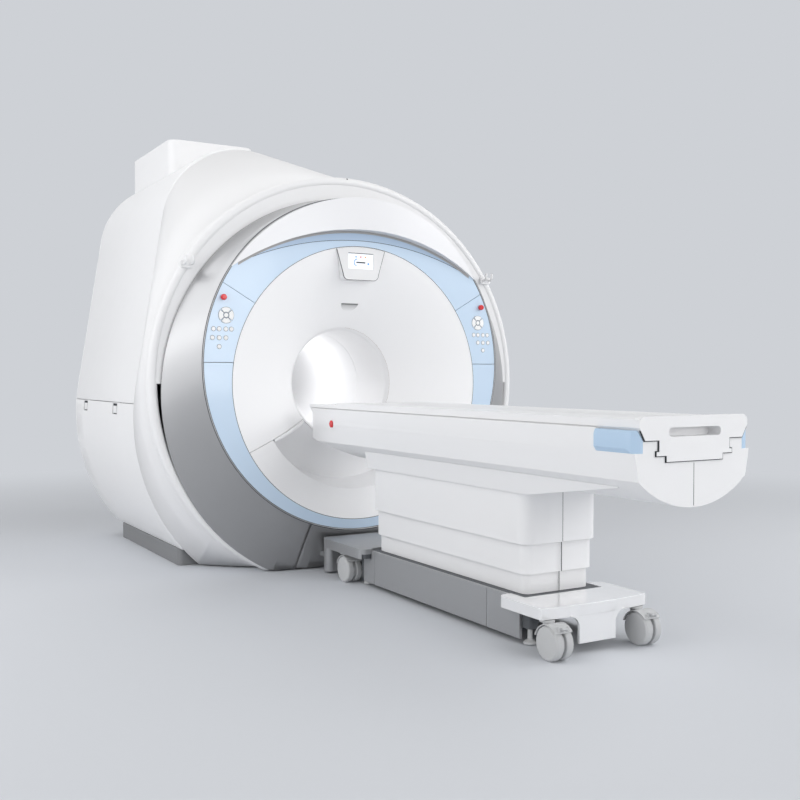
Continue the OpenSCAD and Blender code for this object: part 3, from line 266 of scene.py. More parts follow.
# Finishes by what they are made of: colour, roughness, its spread, and the grain of the spread in millimetres
FINISHES = {
    # Sprayed polyurethane enamel on glass fibre: a soft even sheen without sharp mirror images
    "sprayed_white_enamel": {"tint": "cover_white", "rough": 0.42, "grain": 90, "spread": 0.06},
    # Gelcoat on glass fibre: whiter than the sprayed covers, with the same soft sheen
    "white_gelcoat": {"tint": "funnel_white", "rough": 0.42, "grain": 90, "spread": 0.06},
    # Injection-moulded ABS: slightly greyer and flatter than the sprayed covers
    "moulded_white_abs": {"tint": "trim_white", "rough": 0.46, "grain": 60, "spread": 0.06},
    # Back-painted acrylic: a clear hard gloss over an even pale colour
    "gloss_blue_acrylic": {"tint": "panel_blue", "rough": 0.22, "grain": 120, "spread": 0.05, "coat": 0.5},
    # Painted shade: the panels' acrylic in a darker blue, for the band that the brow shades
    "gloss_inlay_acrylic": {"tint": "inlay_blue", "rough": 0.22, "grain": 120, "spread": 0.05, "coat": 0.5},
    # Cast polyurethane: soft, without a clear reflection
    "cast_blue_polyurethane": {"tint": "bumper_blue", "rough": 0.5, "grain": 25, "spread": 0.08},
    # Metallic lacquer: fine flakes under a clear coat, bright where it mirrors the light and dark elsewhere
    "silver_metallic_lacquer": {
        "tint": "ring_silver", "rough": 0.36, "metal": 0.85, "grain": 4, "spread": 0.05, "coat": 0.3,
    },
    # Pearl lacquer: a pale base with little flake
    "pearl_lacquer": {"tint": "brow_silver", "rough": 0.34, "metal": 0.15, "grain": 4, "spread": 0.05},
    # Painted shade: the pearl lacquer greyed for the brow's shaded underside
    "shaded_lacquer": {"code": "#A9A8A8", "rough": 0.5, "metal": 0.15, "grain": 4, "spread": 0.05},
    # Painted aluminium sheet: satin silver
    "satin_silver_sheet": {"tint": "base_silver", "rough": 0.36, "metal": 0.45, "grain": 5, "spread": 0.06},
    # Polished and lacquered aluminium: mirrors the covers above it
    "polished_aluminium": {
        "tint": "plate_silver", "rough": 0.14, "metal": 0.4, "grain": 40, "spread": 0.04, "coat": 0.5,
    },
    # Powder coat: dull with a fine orange peel
    "grey_powder_coat": {"tint": "plinth_grey", "rough": 0.6, "grain": 3, "spread": 0.1},
    "dark_powder_coat": {"tint": "frame_grey", "rough": 0.62, "grain": 3, "spread": 0.1},
    # Moulded nylon: a dry light grey
    "grey_nylon": {"tint": "caster_grey", "rough": 0.5, "grain": 8, "spread": 0.08},
    # Thermoplastic rubber: dull and slightly darker than the housing
    "grey_tread_rubber": {"tint": "wheel_grey", "rough": 0.66, "grain": 5, "spread": 0.1},
    # Moulded ABS in signal red with a high gloss
    "red_gloss_abs": {"tint": "stop_red", "rough": 0.2, "grain": 15, "spread": 0.05, "coat": 0.3},
    # The recess in the funnel: gelcoat in its own shadow, which clears in steps below the recess's upper edge
    "notch_shade": {
        "tint": "funnel_white", "rough": 0.42, "grain": 90, "spread": 0.06,
        "shade": {"drops": (41, 11, 1), "values": (1.0, 0.6, 0.04)},
    },
    # Silicone keys: a dry white, and the shade of the narrow gaps round them
    "white_silicone": {"code": "#FAFAFA", "rough": 0.5, "grain": 6, "spread": 0.06},
    "key_shade": {"code": "#737A82", "rough": 0.8, "grain": 10, "spread": 0.05},
    # Unlit gaps
    "shadow_gap": {"tint": "gap_dark", "rough": 0.9, "grain": 10, "spread": 0.05},
    # Hidden inside: stainless vessel, potted coils and a chromed rod
    "brushed_stainless": {"code": "#B9BBBE", "rough": 0.32, "metal": 1.0, "grain": 3, "spread": 0.12},
    "cast_epoxy": {"code": "#8E6F47", "rough": 0.55, "grain": 12, "spread": 0.1},
    "hard_chrome": {"code": "#D4D6D9", "rough": 0.08, "metal": 1.0, "grain": 30, "spread": 0.03},
    # Screen: glass over a bright panel, and its plain marks
    "lit_display_glass": {"code": "#F4F7FB", "rough": 0.3, "grain": 60, "spread": 0.02, "glow": 0.2},
    "screen_blue": {"code": "#4FA3EA", "rough": 0.4, "grain": 20, "spread": 0.02},
    "screen_dark": {"code": "#2E353C", "rough": 0.4, "grain": 20, "spread": 0.02},
    "screen_red": {"code": "#E2473C", "rough": 0.4, "grain": 20, "spread": 0.02},
    "screen_amber": {"code": "#EBAA2E", "rough": 0.4, "grain": 20, "spread": 0.02},
}


def finish(name):
    """The material of that name, made at its first use."""
    found = bpy.data.materials.get(name)
    if found:
        return found
    spec = FINISHES[name]
    colour = linear(spec["code"]) if "code" in spec else list(getattr(sizes("colours"), spec["tint"]))
    made = bpy.data.materials.new(name)
    made.use_nodes = True
    tree = made.node_tree
    shader = tree.nodes["Principled BSDF"]
    shader.inputs["Base Color"].default_value = [*colour, 1]
    shader.inputs["Metallic"].default_value = spec.get("metal", 0.0)
    shader.inputs["Coat Weight"].default_value = spec.get("coat", 0.0)
    shader.inputs["Coat Roughness"].default_value = COAT_ROUGHNESS
    if "glow" in spec:
        shader.inputs["Emission Color"].default_value = [*colour, 1]
        shader.inputs["Emission Strength"].default_value = spec["glow"]
    place = add_node(tree, "ShaderNodeTexCoord")
    grain = add_node(
        tree,
        "ShaderNodeTexNoise",
        inputs={"Scale": 1 / (spec["grain"] * MM), "Detail": 2.0},
        links={"Vector": place.outputs["Object"]},
    )
    if "shade" in spec:
        shade(tree, place, colour, **spec["shade"])
    low, high = spec["rough"] - spec["spread"], spec["rough"] + spec["spread"]
    noise_low, noise_high = NOISE_RANGE
    gloss = add_node(
        tree,
        "ShaderNodeMapRange",
        inputs={"From Min": noise_low, "From Max": noise_high, "To Min": low, "To Max": high},
        links={"Value": grain.outputs["Fac"]},
    )
    tree.links.new(gloss.outputs["Result"], shader.inputs["Roughness"])
    return made


def shade(tree, place, colour, drops, values):
    """Darkens a colour upwards by three values, at drops in millimetres below the recess's upper edge."""
    foot, knee, head = (sizes("rings").notch_height - drop * MM for drop in drops)
    height = add_node(tree, "ShaderNodeSeparateXYZ", links={"Vector": place.outputs["Object"]})
    part = add_node(
        tree,
        "ShaderNodeMapRange",
        inputs={"From Min": foot, "From Max": head},
        links={"Value": height.outputs["Z"]},
    )
    ramp = add_node(tree, "ShaderNodeValToRGB", links={"Fac": part.outputs["Result"]})
    ramp.color_ramp.elements.new((knee - foot) / (head - foot))
    for stop, value in zip(ramp.color_ramp.elements, values):
        stop.color = [*(c * value for c in colour), 1]
    tree.links.new(ramp.outputs["Color"], tree.nodes["Principled BSDF"].inputs["Base Color"])


def paint(mesh, name):
    """Gives a mesh one finish."""
    mesh.materials.clear()
    mesh.materials.append(finish(name))


def add_piece(name, bm, material, body, replaced=(), sharp=40):
    """Makes a bmesh an object on a body, smooth up to the sharp angle, and lets it stand for CAD nodes."""
    mesh = bpy.data.meshes.new(name)
    bm.to_mesh(mesh)
    bm.free()
    piece = bpy.data.objects.new(name, mesh)
    bpy.context.scene.collection.objects.link(piece)
    paint(mesh, material)
    mesh.polygons.foreach_set("use_smooth", [True] * len(mesh.polygons))
    mesh.set_sharp_from_angle(angle=math.radians(sharp))
    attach(piece, body)
    if replaced:
        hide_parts(*replaced)
    return piece


def wall(piece, thickness):
    """Gives a skin its thickness inwards."""
    solid = piece.modifiers.new("Wall", "SOLIDIFY")
    solid.thickness = thickness
    solid.offset = -1


def soften(piece, width, segments, angle, harden=False):
    """Rounds the edges at which a piece turns by more than an angle in degrees."""
    bevel = piece.modifiers.new("Edge", "BEVEL")
    bevel.width = width
    bevel.segments = segments
    bevel.limit_method = "ANGLE"
    bevel.angle_limit = math.radians(angle)
    bevel.harden_normals = harden


def at(x, depth, z):
    """A point from its side, its depth behind the panels' face and its height, all in metres."""
    return Vector((x, FACE_Y + depth, z))


def only(kind, geom):
    """The vertices or the edges among what an operator gives back."""
    return [item for item in geom if isinstance(item, kind)]


def loft(bm, loops, closed=True):
    """Extrudes the first loop of points through the others, point by point."""
    row = [bm.verts.new(p) for p in loops[0]]
    pairs = list(zip(row, row[1:] + row[:1]))
    edges = [bm.edges.new(pair) for pair in (pairs if closed else pairs[:-1])]
    for loop in loops[1:]:
        made = bmesh.ops.extrude_edge_only(bm, edges=edges)["geom"]
        fresh = set(only(bmesh.types.BMVert, made))
        row = [next(e.other_vert(v) for e in v.link_edges if e.other_vert(v) in fresh) for v in row]
        edges = [e for e in only(bmesh.types.BMEdge, made) if fresh.issuperset(e.verts)]
        for vert, point in zip(row, loop):
            vert.co = point
    bmesh.ops.recalc_face_normals(bm, faces=bm.faces[:])


def lathe(bm, profile, height, steps=240):
    """Turns a closed profile of (radius, depth) about an axis along the bore at that height."""
    verts = [bm.verts.new(at(radius, depth, height)) for radius, depth in profile]
    edges = [bm.edges.new(pair) for pair in zip(verts, verts[1:] + verts[:1])]
    bmesh.ops.spin(
        bm,
        geom=verts + edges,
        cent=(0, 0, height),
        axis=(0, 1, 0),
        angle=math.tau,
        steps=steps,
        use_merge=True,
    )
    bmesh.ops.remove_doubles(bm, verts=bm.verts[:], dist=SWEEP_WELD)
    bmesh.ops.recalc_face_normals(bm, faces=bm.faces[:])


def tube_profile(radius, depth, tube, count):
    """A lathe's profile for a round tube, from the radius and depth of its middle."""
    angles = [math.tau * i / count for i in range(count)]
    return [(radius + tube * math.cos(a), depth + tube * math.sin(a)) for a in angles]


def flat_profile(inner, outer, front, back):
    """A lathe's profile for a flat ring."""
    return [(inner, front), (outer, front), (outer, back), (inner, back)]


def border(bm, first, second, front, back):
    """Adds a strip between two outlines of (x, z) points and between two depths."""
    loops = []
    for outline, depth in ((first, back), (first, front), (second, front), (second, back)):
        loops.append([at(x, depth, z) for x, z in outline])
    loft(bm, [*loops, loops[0]])
    bmesh.ops.remove_doubles(bm, verts=bm.verts[:], dist=SWEEP_WELD)


def cut(bm, point, normal, clear=True, close=False):
    """Cuts along a plane, and can clear what lies on the normal's side and close the cut."""
    geom = bm.verts[:] + bm.edges[:] + bm.faces[:]
    made = bmesh.ops.bisect_plane(bm, geom=geom, plane_co=point, plane_no=normal, clear_outer=clear)
    if close:
        bmesh.ops.holes_fill(bm, edges=only(bmesh.types.BMEdge, made["geom_cut"]))


def plate(bm, outline, front, back):
    """Raises an outline of (x, z) points into a plate between two depths."""
    face = bm.faces.new([bm.verts.new(at(x, front, z)) for x, z in outline])
    made = bmesh.ops.extrude_face_region(bm, geom=[face])["geom"]
    bmesh.ops.translate(bm, verts=only(bmesh.types.BMVert, made), vec=(0, back - front, 0))
    bmesh.ops.recalc_face_normals(bm, faces=bm.faces[:])


def block(bm, low, high, edge=0.0):
    """Adds a box between two corners, with round edges where an edge's size is given."""
    low, high = Vector(low), Vector(high)
    size = Matrix.Diagonal((*(high - low), 1))
    verts = bmesh.ops.create_cube(bm, size=1, matrix=Matrix.Translation((low + high) / 2) @ size)["verts"]
    if edge:
        edges = list({e for v in verts for e in v.link_edges})
        bmesh.ops.bevel(bm, geom=edges, offset=edge, affect="EDGES", segments=3, profile=0.5, material=-1)


def node_copy(node):
    """A bmesh of a CAD node with its loose triangles merged."""
    bm = bmesh.new()
    bm.from_mesh(NODES[node].data)
    bmesh.ops.remove_doubles(bm, verts=bm.verts[:], dist=CAD_WELD)
    return bm


def arch(radius, height, half, count=72):
    """Points of the top of a circle in the bore's plane, from one side to the other."""
    places = [half * (2 * i / count - 1) for i in range(count + 1)]
    return [(x, height + math.sqrt(radius**2 - x * x)) for x in places]


def cover_stations(across=70, down=150, along=14, turn=math.radians(2.5)):
    """Points round the covers' outline, each with the direction in which the fairing leaves the rim for it.

    The outline is the hood's arc and the body's arc with the straight lines that touch both. On the rim, each
    straight line takes up a turn at either end of the arcs.
    """
    s = sizes("covers")
    body = Vector((0, s.body_height))
    hood = Vector((s.hood_side, s.hood_height))
    gap = body - hood
    heading = math.atan2(gap.y, gap.x)
    spread = math.acos((s.hood_radius - s.body_radius) / gap.length)
    right, left = heading + spread, heading - spread + math.tau
    while left - right > math.tau:
        left -= math.tau

    def radial(angle):
        return Vector((math.cos(angle), math.sin(angle)))

    stations = []
    for centre, radius, low, high, count in (
        (hood, s.hood_radius, right, left, across),
        (body, s.body_radius, left, right + math.tau, down),
    ):
        for i in range(count + 1):
            share = i / count
            angle = low + (high - low) * share
            stations.append((low + turn + (high - low - 2 * turn) * share, centre + radius * radial(angle)))
        start, end = (hood, body) if centre is hood else (body, hood)
        reach = (s.hood_radius, s.body_radius) if centre is hood else (s.body_radius, s.hood_radius)
        for i in range(1, along):
            share = i / along
            point = start.lerp(end, share) + (reach[0] + (reach[1] - reach[0]) * share) * radial(high)
            stations.append((high - turn + 2 * turn * share, point))
    return stations


def cover_loops():
    """Loops of points of the fairing and of the covers behind it, with the round edge between them."""
    s = sizes("covers")
    rim_z = AXIS_Z + s.rim_rise
    start_r = s.rim_radius + s.rim_tube - s.fairing_tuck
    start_y = s.rim_depth + s.fairing_set
    bends = 5
    steps = [i / bends for i in range(bends + 1)]
    fairing, covers = [[], []], [[] for _ in range(bends + 2)]
    for angle, point in cover_stations():
        rim = at(start_r * math.cos(angle), start_y, rim_z + start_r * math.sin(angle))
        corner = at(point.x, s.front, point.y)
        before = corner + (rim - corner).normalized() * s.edge
        after = corner + Vector((0, s.edge, 0))
        fairing[0].append(rim)
        fairing[1].append(before)
        for row, t in zip(covers, steps):
            row.append(before * (1 - t) ** 2 + corner * 2 * t * (1 - t) + after * t * t)
        covers[-1].append(at(point.x, s.back, point.y))
    return fairing, covers


class SCANNER_OT_rim(bpy.types.Operator):
    """White rim with its tube, its marker, the flat face inside it and the fairing behind it"""

    bl_idname = "scanner.rim"
    bl_label = "Rim and fairing"

    def execute(self, context):
        s = sizes("covers")
        rim_z = AXIS_Z + s.rim_rise
        floor = (0, 0, s.floor_gap)
        tube = bmesh.new()
        lathe(tube, tube_profile(s.rim_radius, s.rim_depth, s.rim_tube, 28), rim_z, steps=288)
        cut(tube, floor, (0, 0, -1), close=True)
        add_piece("rim_tube", tube, "sprayed_white_enamel", "magnet")
        flat = bmesh.new()
        face = s.rim_depth - s.flat_set
        profile = flat_profile(s.rim_radius - s.flat_reach, s.rim_radius - s.flat_lap, face, face + s.wall)
        lathe(flat, profile, rim_z, steps=288)
        cut(flat, (0, 0, AXIS_Z), (0, 0, -1), close=True)
        add_piece("rim_flat", flat, "sprayed_white_enamel", "magnet")
        self.marker(s, rim_z)
        self.fairing(s, rim_z, floor)
        return {"FINISHED"}

    def marker(self, s, rim_z):
        """Small round marker on the front of the rim's highest point."""
        radius = sizes("details").marker
        lean = Matrix.Rotation(math.radians(45), 4, "X")
        top = Matrix.Translation(at(0, s.rim_depth, rim_z + s.rim_radius))
        place = top @ lean @ Matrix.Translation((0, 0, s.rim_tube))
        bm = bmesh.new()
        bmesh.ops.create_cone(
            bm, cap_ends=True, segments=32, radius1=radius, radius2=radius, depth=1.6 * MM, matrix=place
        )
        add_piece("rim_marker", bm, "shadow_gap", "magnet")

    def fairing(self, s, rim_z, floor):
        """Collar behind the rim and the fairing that runs from it to the covers."""
        loops, _ = cover_loops()
        middle = at(0, s.rim_depth + s.collar_set, rim_z)
        collar = []
        for point in loops[0]:
            out = (point - middle) * Vector((1, 0, 1))
            collar.append(middle + out.normalized() * (s.rim_radius + s.collar_out))
        back = [point + Vector((0, s.collar_length, 0)) for point in collar]
        bm = bmesh.new()
        loft(bm, [collar, back, *loops])
        cut(bm, floor, (0, 0, -1))
        skin = add_piece(
            "fairing", bm, "sprayed_white_enamel", "magnet", ["front_rim"], sharp=60
        )
        wall(skin, s.fairing_wall)


class SCANNER_OT_covers(bpy.types.Operator):
    """Upper and lower covers with the gap between them, the latch pockets and the latches"""

    bl_idname = "scanner.covers"
    bl_label = "Covers"

    def execute(self, context):
        s, d = sizes("covers"), sizes("details")
        half = s.gap / 2
        plinth_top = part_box("lower_cover_left")[0].z
        lower = [((0, 0, s.split - half), (0, 0, 1)), ((0, 0, plinth_top), (0, 0, -1))]
        for name, node, planes in (
            ("upper_cover_skin", "upper_cover", [((0, 0, s.split + half), (0, 0, -1))]),
            ("lower_skin_left", "lower_cover_left", [((-half, 0, 0), (1, 0, 0)), *lower]),
            ("lower_skin_right", "lower_cover_right", [((half, 0, 0), (-1, 0, 0)), *lower]),
        ):
            bm = bmesh.new()
            _, loops = cover_loops()
            loft(bm, loops)
            for point, normal in planes:
                cut(bm, point, normal)
            if node != "upper_cover":
                for depth in (d.latch_front, d.latch_back):
                    self.pocket(bm, depth, s.split, d)
            skin = add_piece(name, bm, "sprayed_white_enamel", "magnet", [node], sharp=50)
            wall(skin, s.wall)
            soften(skin, 2 * MM, segments=2, angle=50)
        self.latches(s, d)
        return {"FINISHED"}

    def pocket(self, bm, depth, split, d):
        """Pushes a latch pocket into a lower cover."""
        front, back = depth - d.pocket_half, depth + d.pocket_half
        low, high = split - d.pocket_foot, split - d.pocket_head
        for edge in (front, back):
            cut(bm, at(0, edge, 0), (0, 1, 0), clear=False)
        for edge in (low, high):
            cut(bm, (0, 0, edge), (0, 0, 1), clear=False)
        inside = []
        for face in bm.faces:
            middle = face.calc_center_median()
            if front < middle.y - FACE_Y < back and low < middle.z < high:
                inside.append(face)
        made = bmesh.ops.extrude_face_region(bm, geom=inside)["geom"]
        bmesh.ops.delete(bm, geom=inside, context="FACES")
        verts = only(bmesh.types.BMVert, made)
        push = -math.copysign(d.pocket_depth, verts[0].co.x)
        bmesh.ops.translate(bm, verts=verts, vec=(push, 0, 0))

    def latches(self, s, d):
        """Clip latches that hang from the split into the pockets, over a dark floor of painted shade."""
        clips, pocket_shades = bmesh.new(), bmesh.new()
        reach = s.body_radius - d.pocket_depth
        inset = d.pocket_inset
        # The pocket's floor: a dark plate of painted shade, set in from the pocket's edges
        floor = (d.pocket_half - inset, d.pocket_foot - inset, d.pocket_head + inset)
        clip = (d.clip_half, d.clip_foot, d.clip_head)
        for depth in (d.latch_front, d.latch_back):
            for side in (-1, 1):
                for bm, (half, foot, head), inner, outer, edge in (
                    (pocket_shades, floor, 2 * MM, 1 * MM, 0),
                    (clips, clip, 1 * MM, 7 * MM, 2 * MM),
                ):
                    near, far = sorted((side * (reach - inner), side * (reach + outer)))
                    low = at(near, depth - half, s.split - foot)
                    high = at(far, depth + half, s.split - head)
                    block(bm, low, high, edge)
        add_piece("latch_clips", clips, "moulded_white_abs", "magnet")
        add_piece("latch_floors", pocket_shades, "shadow_gap", "magnet")


class SCANNER_OT_silver(bpy.types.Operator):
    """Silver ring, the dock panel in it and the trim lip round the front panels"""

    bl_idname = "scanner.silver"
    bl_label = "Silver ring"

    def execute(self, context):
        s = sizes("rings")
        floor = sizes("covers").floor_gap
        panel_z = AXIS_Z + s.panel_rise
        top = panel_z - math.sqrt(s.panel_radius**2 - s.dock_half**2)
        lean = Vector((1, 0, s.dock_slope)).normalized()
        for name, node in (("silver_ring_skin", "silver_ring"), ("dock_skin", "dock_panel")):
            dock = node == "dock_panel"
            reach = s.dock_half + (-s.seam / 2 if dock else s.seam / 2)
            bm = bmesh.new()
            loft(bm, self.loops(s))
            cut(bm, (0, 0, floor), (0, 0, -1))
            for side in (-1, 1):
                cut(bm, (side * reach, 0, top), (side * lean.x, 0, lean.z), clear=dock)
            if dock:
                cut(bm, (0, 0, top + s.dock_rise), (0, 0, 1))
            else:
                hole = [f for f in bm.faces if self.in_dock(f.calc_center_median(), s, top)]
                bmesh.ops.delete(bm, geom=hole, context="FACES")
            skin = add_piece(
                name, bm, "silver_metallic_lacquer", "magnet", [node], sharp=50
            )
            wall(skin, s.ring_wall)
        lip = bmesh.new()
        lathe(lip, tube_profile(s.panel_radius + s.trim_out, 0, s.trim, 12), panel_z)
        add_piece("panel_trim", lip, "silver_metallic_lacquer", "magnet")
        return {"FINISHED"}

    def loops(self, s, count=320):
        """Loops of points from the rolled inner lip over the ring's cone to its turned outer edge."""
        inner_z, outer_z = AXIS_Z + s.panel_rise, AXIS_Z - s.ring_drop
        inner_r = s.panel_radius + s.ring_lip
        # Radius, height of the centre and depth of each loop
        rows = [
            (s.panel_radius + 1 * MM, inner_z, 14 * MM),
            (s.panel_radius + 1 * MM, inner_z, 3 * MM),
            (s.panel_radius + 2.5 * MM, inner_z, 0.6 * MM),
            (inner_r, inner_z, 0.2 * MM),
            (inner_r + 2 * MM, inner_z, 2 * MM),
        ]
        for share in (0.25, 0.5, 0.75, 0.97):
            radius = inner_r + (s.ring_radius - inner_r) * share
            z = inner_z + (outer_z - inner_z) * share
            rows.append((radius, z, 4 * MM + (s.ring_depth - 8 * MM) * share))
        rows += [
            (s.ring_radius - 1 * MM, outer_z, s.ring_depth - 4 * MM),
            (s.ring_radius, outer_z, s.ring_depth - 1 * MM),
            (s.ring_radius - 2 * MM, outer_z, s.ring_depth),
        ]
        ways = [Vector((math.cos(a), math.sin(a))) for a in (math.tau * i / count for i in range(count))]
        return [[at(radius * way.x, depth, z + radius * way.y) for way in ways] for radius, z, depth in rows]

    def in_dock(self, point, s, top):
        """Whether a point of the ring lies in the dock panel's place."""
        reach = s.dock_half + s.seam / 2 + (top - point.z) * s.dock_slope
        return abs(point.x) < reach and point.z < top + s.dock_rise


class SCANNER_OT_front(bpy.types.Operator):
    """Painted shade of the brow's underside and of the band under it, a painted-shade gap round the display
    pod, and the recess over the bore with painted shade
    """

    bl_idname = "scanner.front"
    bl_label = "Front details"

    def execute(self, context):
        s = sizes("rings")
        low = arch(s.shade_band_radius, s.shade_band_height, s.shade_band_half)
        high = arch(s.brow_radius + s.brow_tuck, s.brow_height, s.shade_band_half)
        joint = arch(s.shade_band_radius - s.joint, s.shade_band_height, s.shade_band_half)
        edge = arch(s.brow_radius - s.brow_under, s.brow_height, s.shade_band_half)
        # Bands on the panels under the brow: a darker blue of painted shade, a dark joint line below it, and
        # a grey strip of painted shade for the brow's underside
        for name, lower, upper, proud, material, slot in (
            ("brow_inlay", low, high, 0.7 * MM, "gloss_inlay_acrylic", "blue_panel"),
            ("inlay_joint", joint, low, 1 * MM, "shadow_gap", "frame_paint"),
            ("brow_underside", edge, high, 1.4 * MM, "shaded_lacquer", "brow_paint"),
        ):
            bm = bmesh.new()
            plate(bm, lower + upper[::-1], -proud, 1 * MM)
            add_piece(name, bm, material, "magnet")
        # A dark strip round the display pod's outline: painted shade in the gap round its edge
        bm = bmesh.new()
        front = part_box("display_pod")[0].y - FACE_Y
        border(bm, self.pod(0.8 * MM), self.pod(-1.6 * MM), front - 0.3 * MM, front + 4 * MM)
        add_piece("pod_gap", bm, "shadow_gap", "magnet")
        self.notch(s)
        return {"FINISHED"}

    def pod(self, grow):
        """Outline of the display pod, grown outwards."""
        d = sizes("details")
        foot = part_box("display_pod")[0].z
        bends = 8
        reach = d.pod_corner + grow
        side = []
        for i in range(bends + 1):
            angle = math.radians(-90 + 90 * i / bends)
            x = d.pod_foot - d.pod_corner + reach * math.cos(angle)
            side.append((x, foot + d.pod_corner + reach * math.sin(angle)))
        side.append((d.pod_head + grow, foot + d.pod_side))
        mouth = [(-x, z) for x, z in arch(d.pod_mouth, AXIS_Z, d.pod_head, 16)]
        return side + mouth + [(-x, z) for x, z in side[::-1]]

    def notch(self, s, rows=16, columns=24, proud=0.5 * MM, tip=0.002):
        """Half-moon recess over the bore, drawn just proud of the funnel's face with its shade painted on,
        with a blunt lower tip.
        """
        loops = []
        for i in range(rows + 1):
            z = s.notch_height - s.notch_fall * i / rows
            half = s.notch_half * math.sqrt(max(1 - (i / rows) ** 2, tip))
            places = [half * (2 * j / columns - 1) for j in range(columns + 1)]
            loops.append([at(x, self.funnel(s, math.hypot(x, z - AXIS_Z)) - proud, z) for x in places])
        bm = bmesh.new()
        loft(bm, loops, closed=False)
        add_piece("funnel_notch", bm, "notch_shade", "magnet")

    def funnel(self, s, radius):
        """Depth of the funnel's face at a radius."""
        run, rise = s.bore_radius - s.mouth_radius, s.funnel_depth
        span = math.hypot(run, rise)
        reach = math.sqrt(s.funnel_curve**2 - span**2 / 4)
        across = (s.mouth_radius + s.bore_radius) / 2 + reach * rise / span
        back = rise / 2 - reach * run / span
        return back - math.sqrt(s.funnel_curve**2 - (across - radius) ** 2)


class SCANNER_OT_gaps(bpy.types.Operator):
    """Strips of painted shade in the gaps beside the trim lip and round the funnel's mouth, the keys and the
    cradle's end
    """

    bl_idname = "scanner.gaps"
    bl_label = "Gaps"

    def execute(self, context):
        s = sizes("rings")
        front, back = -0.4 * MM, 0.5 * MM
        lip = s.panel_radius + s.trim_out
        panel_z = AXIS_Z + s.panel_rise
        bm = bmesh.new()
        for inner, height in (
            (lip - s.trim - s.joint, panel_z),
            (lip + s.trim, panel_z),
            (s.mouth_radius, AXIS_Z),
        ):
            lathe(bm, flat_profile(inner, inner + s.joint, front, back), height)
        add_piece("panel_gaps", bm, "shadow_gap", "magnet")
        bm = bmesh.new()
        for node in ("jog_pad_left", "jog_pad_right", "keypad_left", "keypad_right"):
            for outline in self.outlines(node):
                self.strip(bm, outline, front, back, s.joint)
        add_piece("key_gaps", bm, "key_shade", "magnet")
        bm = bmesh.new()
        end = max(self.outlines("cradle"), key=lambda outline: max(p.x for p in outline))
        cradle_end, shell_end = (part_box(node)[0].y - FACE_Y for node in ("cradle", "table_shell"))
        self.strip(bm, end, cradle_end + 1 * MM, shell_end + back, s.joint)
        cut(bm, (0, 0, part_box("bumper_left")[1].z), (0, 0, 1), close=True)
        add_piece("cradle_gap", bm, "shadow_gap", NODES["table_shell"]["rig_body"])
        return {"FINISHED"}

    def strip(self, bm, outline, front, back, width, clear=0.3 * MM):
        """Adds a thin strip round an outline, between two depths."""
        border(bm, self.grown(outline, clear), self.grown(outline, width), front, back)

    def outlines(self, node):
        """Outlines in (x, z) of a node's foremost faces."""
        bm = node_copy(node)
        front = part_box(node)[0].y + 0.1 * MM
        behind = [f for f in bm.faces if max(v.co.y for v in f.verts) > front]
        bmesh.ops.delete(bm, geom=behind, context="FACES")
        made, done = [], set()
        for first in bm.edges:
            if first in done or not first.is_boundary:
                continue
            done.add(first)
            start, vert = first.verts
            outline = [start.co.xz]
            while vert != start:
                outline.append(vert.co.xz)
                edge = next(e for e in vert.link_edges if e.is_boundary and e not in done)
                done.add(edge)
                vert = edge.other_vert(vert)
            made.append(outline)
        bm.free()
        return made

    def grown(self, outline, reach, least=0.5):
        """An outline moved outwards by a distance, with its sharpest corners held back."""
        pairs = list(zip(outline, outline[1:] + outline[:1]))
        turn = 1 if sum(a.cross(b) for a, b in pairs) > 0 else -1
        ways = [(b - a).normalized() for a, b in pairs]
        made = []
        for i, point in enumerate(outline):
            before, after = ways[i - 1], ways[i]
            out = Vector((before.y + after.y, -before.x - after.x)).normalized() * turn
            square = out.dot(Vector((after.y, -after.x)) * turn)
            made.append(point + out * reach / max(square, least))
        return made


class SCANNER_OT_display(bpy.types.Operator):
    """Plain marks on the display: three lamps, a dot, a dial and a bar, and a painted shadow along its top
    edge
    """

    bl_idname = "scanner.display"
    bl_label = "Display"

    def execute(self, context):
        low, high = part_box("display_screen")
        wide, tall = high.x - low.x, high.z - low.z

        def spot(across, up, proud=0.4 * MM):
            """A point by its share of the screen's width and height, proud of the glass."""
            return Vector((low.x + wide * across, low.y - proud, low.z + tall * up))

        facing = Matrix.Rotation(math.radians(90), 4, "X")
        for name, material, across, up, radius in (
            ("screen_lamp_1", "screen_blue", 0.31, 0.76, 4.2 * MM),
            ("screen_lamp_2", "screen_red", 0.5, 0.76, 4.2 * MM),
            ("screen_lamp_3", "screen_amber", 0.68, 0.76, 4.2 * MM),
            ("screen_dot", "screen_blue", 0.8, 0.34, 5.5 * MM),
        ):
            bm = bmesh.new()
            place = Matrix.Translation(spot(across, up)) @ facing
            bmesh.ops.create_circle(bm, cap_ends=True, segments=32, radius=radius, matrix=place)
            add_piece(name, bm, material, "magnet")
        self.dial(spot(0.36, 0.4))
        bars = bmesh.new()
        # The first bar is display content; the second, along the screen's top edge, is a painted shadow of
        # the recess's edge
        for foot, head in (((0.32, 0.37), (0.68, 0.45)), ((0.0, 0.965), (1.0, 1.0))):
            block(bars, spot(*foot, 0.5 * MM), spot(*head, -0.2 * MM))
        add_piece("screen_bar", bars, "screen_dark", "magnet")
        return {"FINISHED"}

    def dial(self, centre, inner=17 * MM, outer=21 * MM, sweep=math.radians(165)):
        """Open arc of a dial round a point of the screen."""
        bm = bmesh.new()
        ends = [bm.verts.new(centre + Vector((0, 0, reach))) for reach in (inner, outer)]
        line = bm.edges.new(ends)
        bmesh.ops.spin(bm, geom=[*ends, line], cent=centre, axis=(0, -1, 0), angle=sweep, steps=32)
        bmesh.ops.recalc_face_normals(bm, faces=bm.faces[:])
        add_piece("screen_dial", bm, "screen_blue", "magnet")


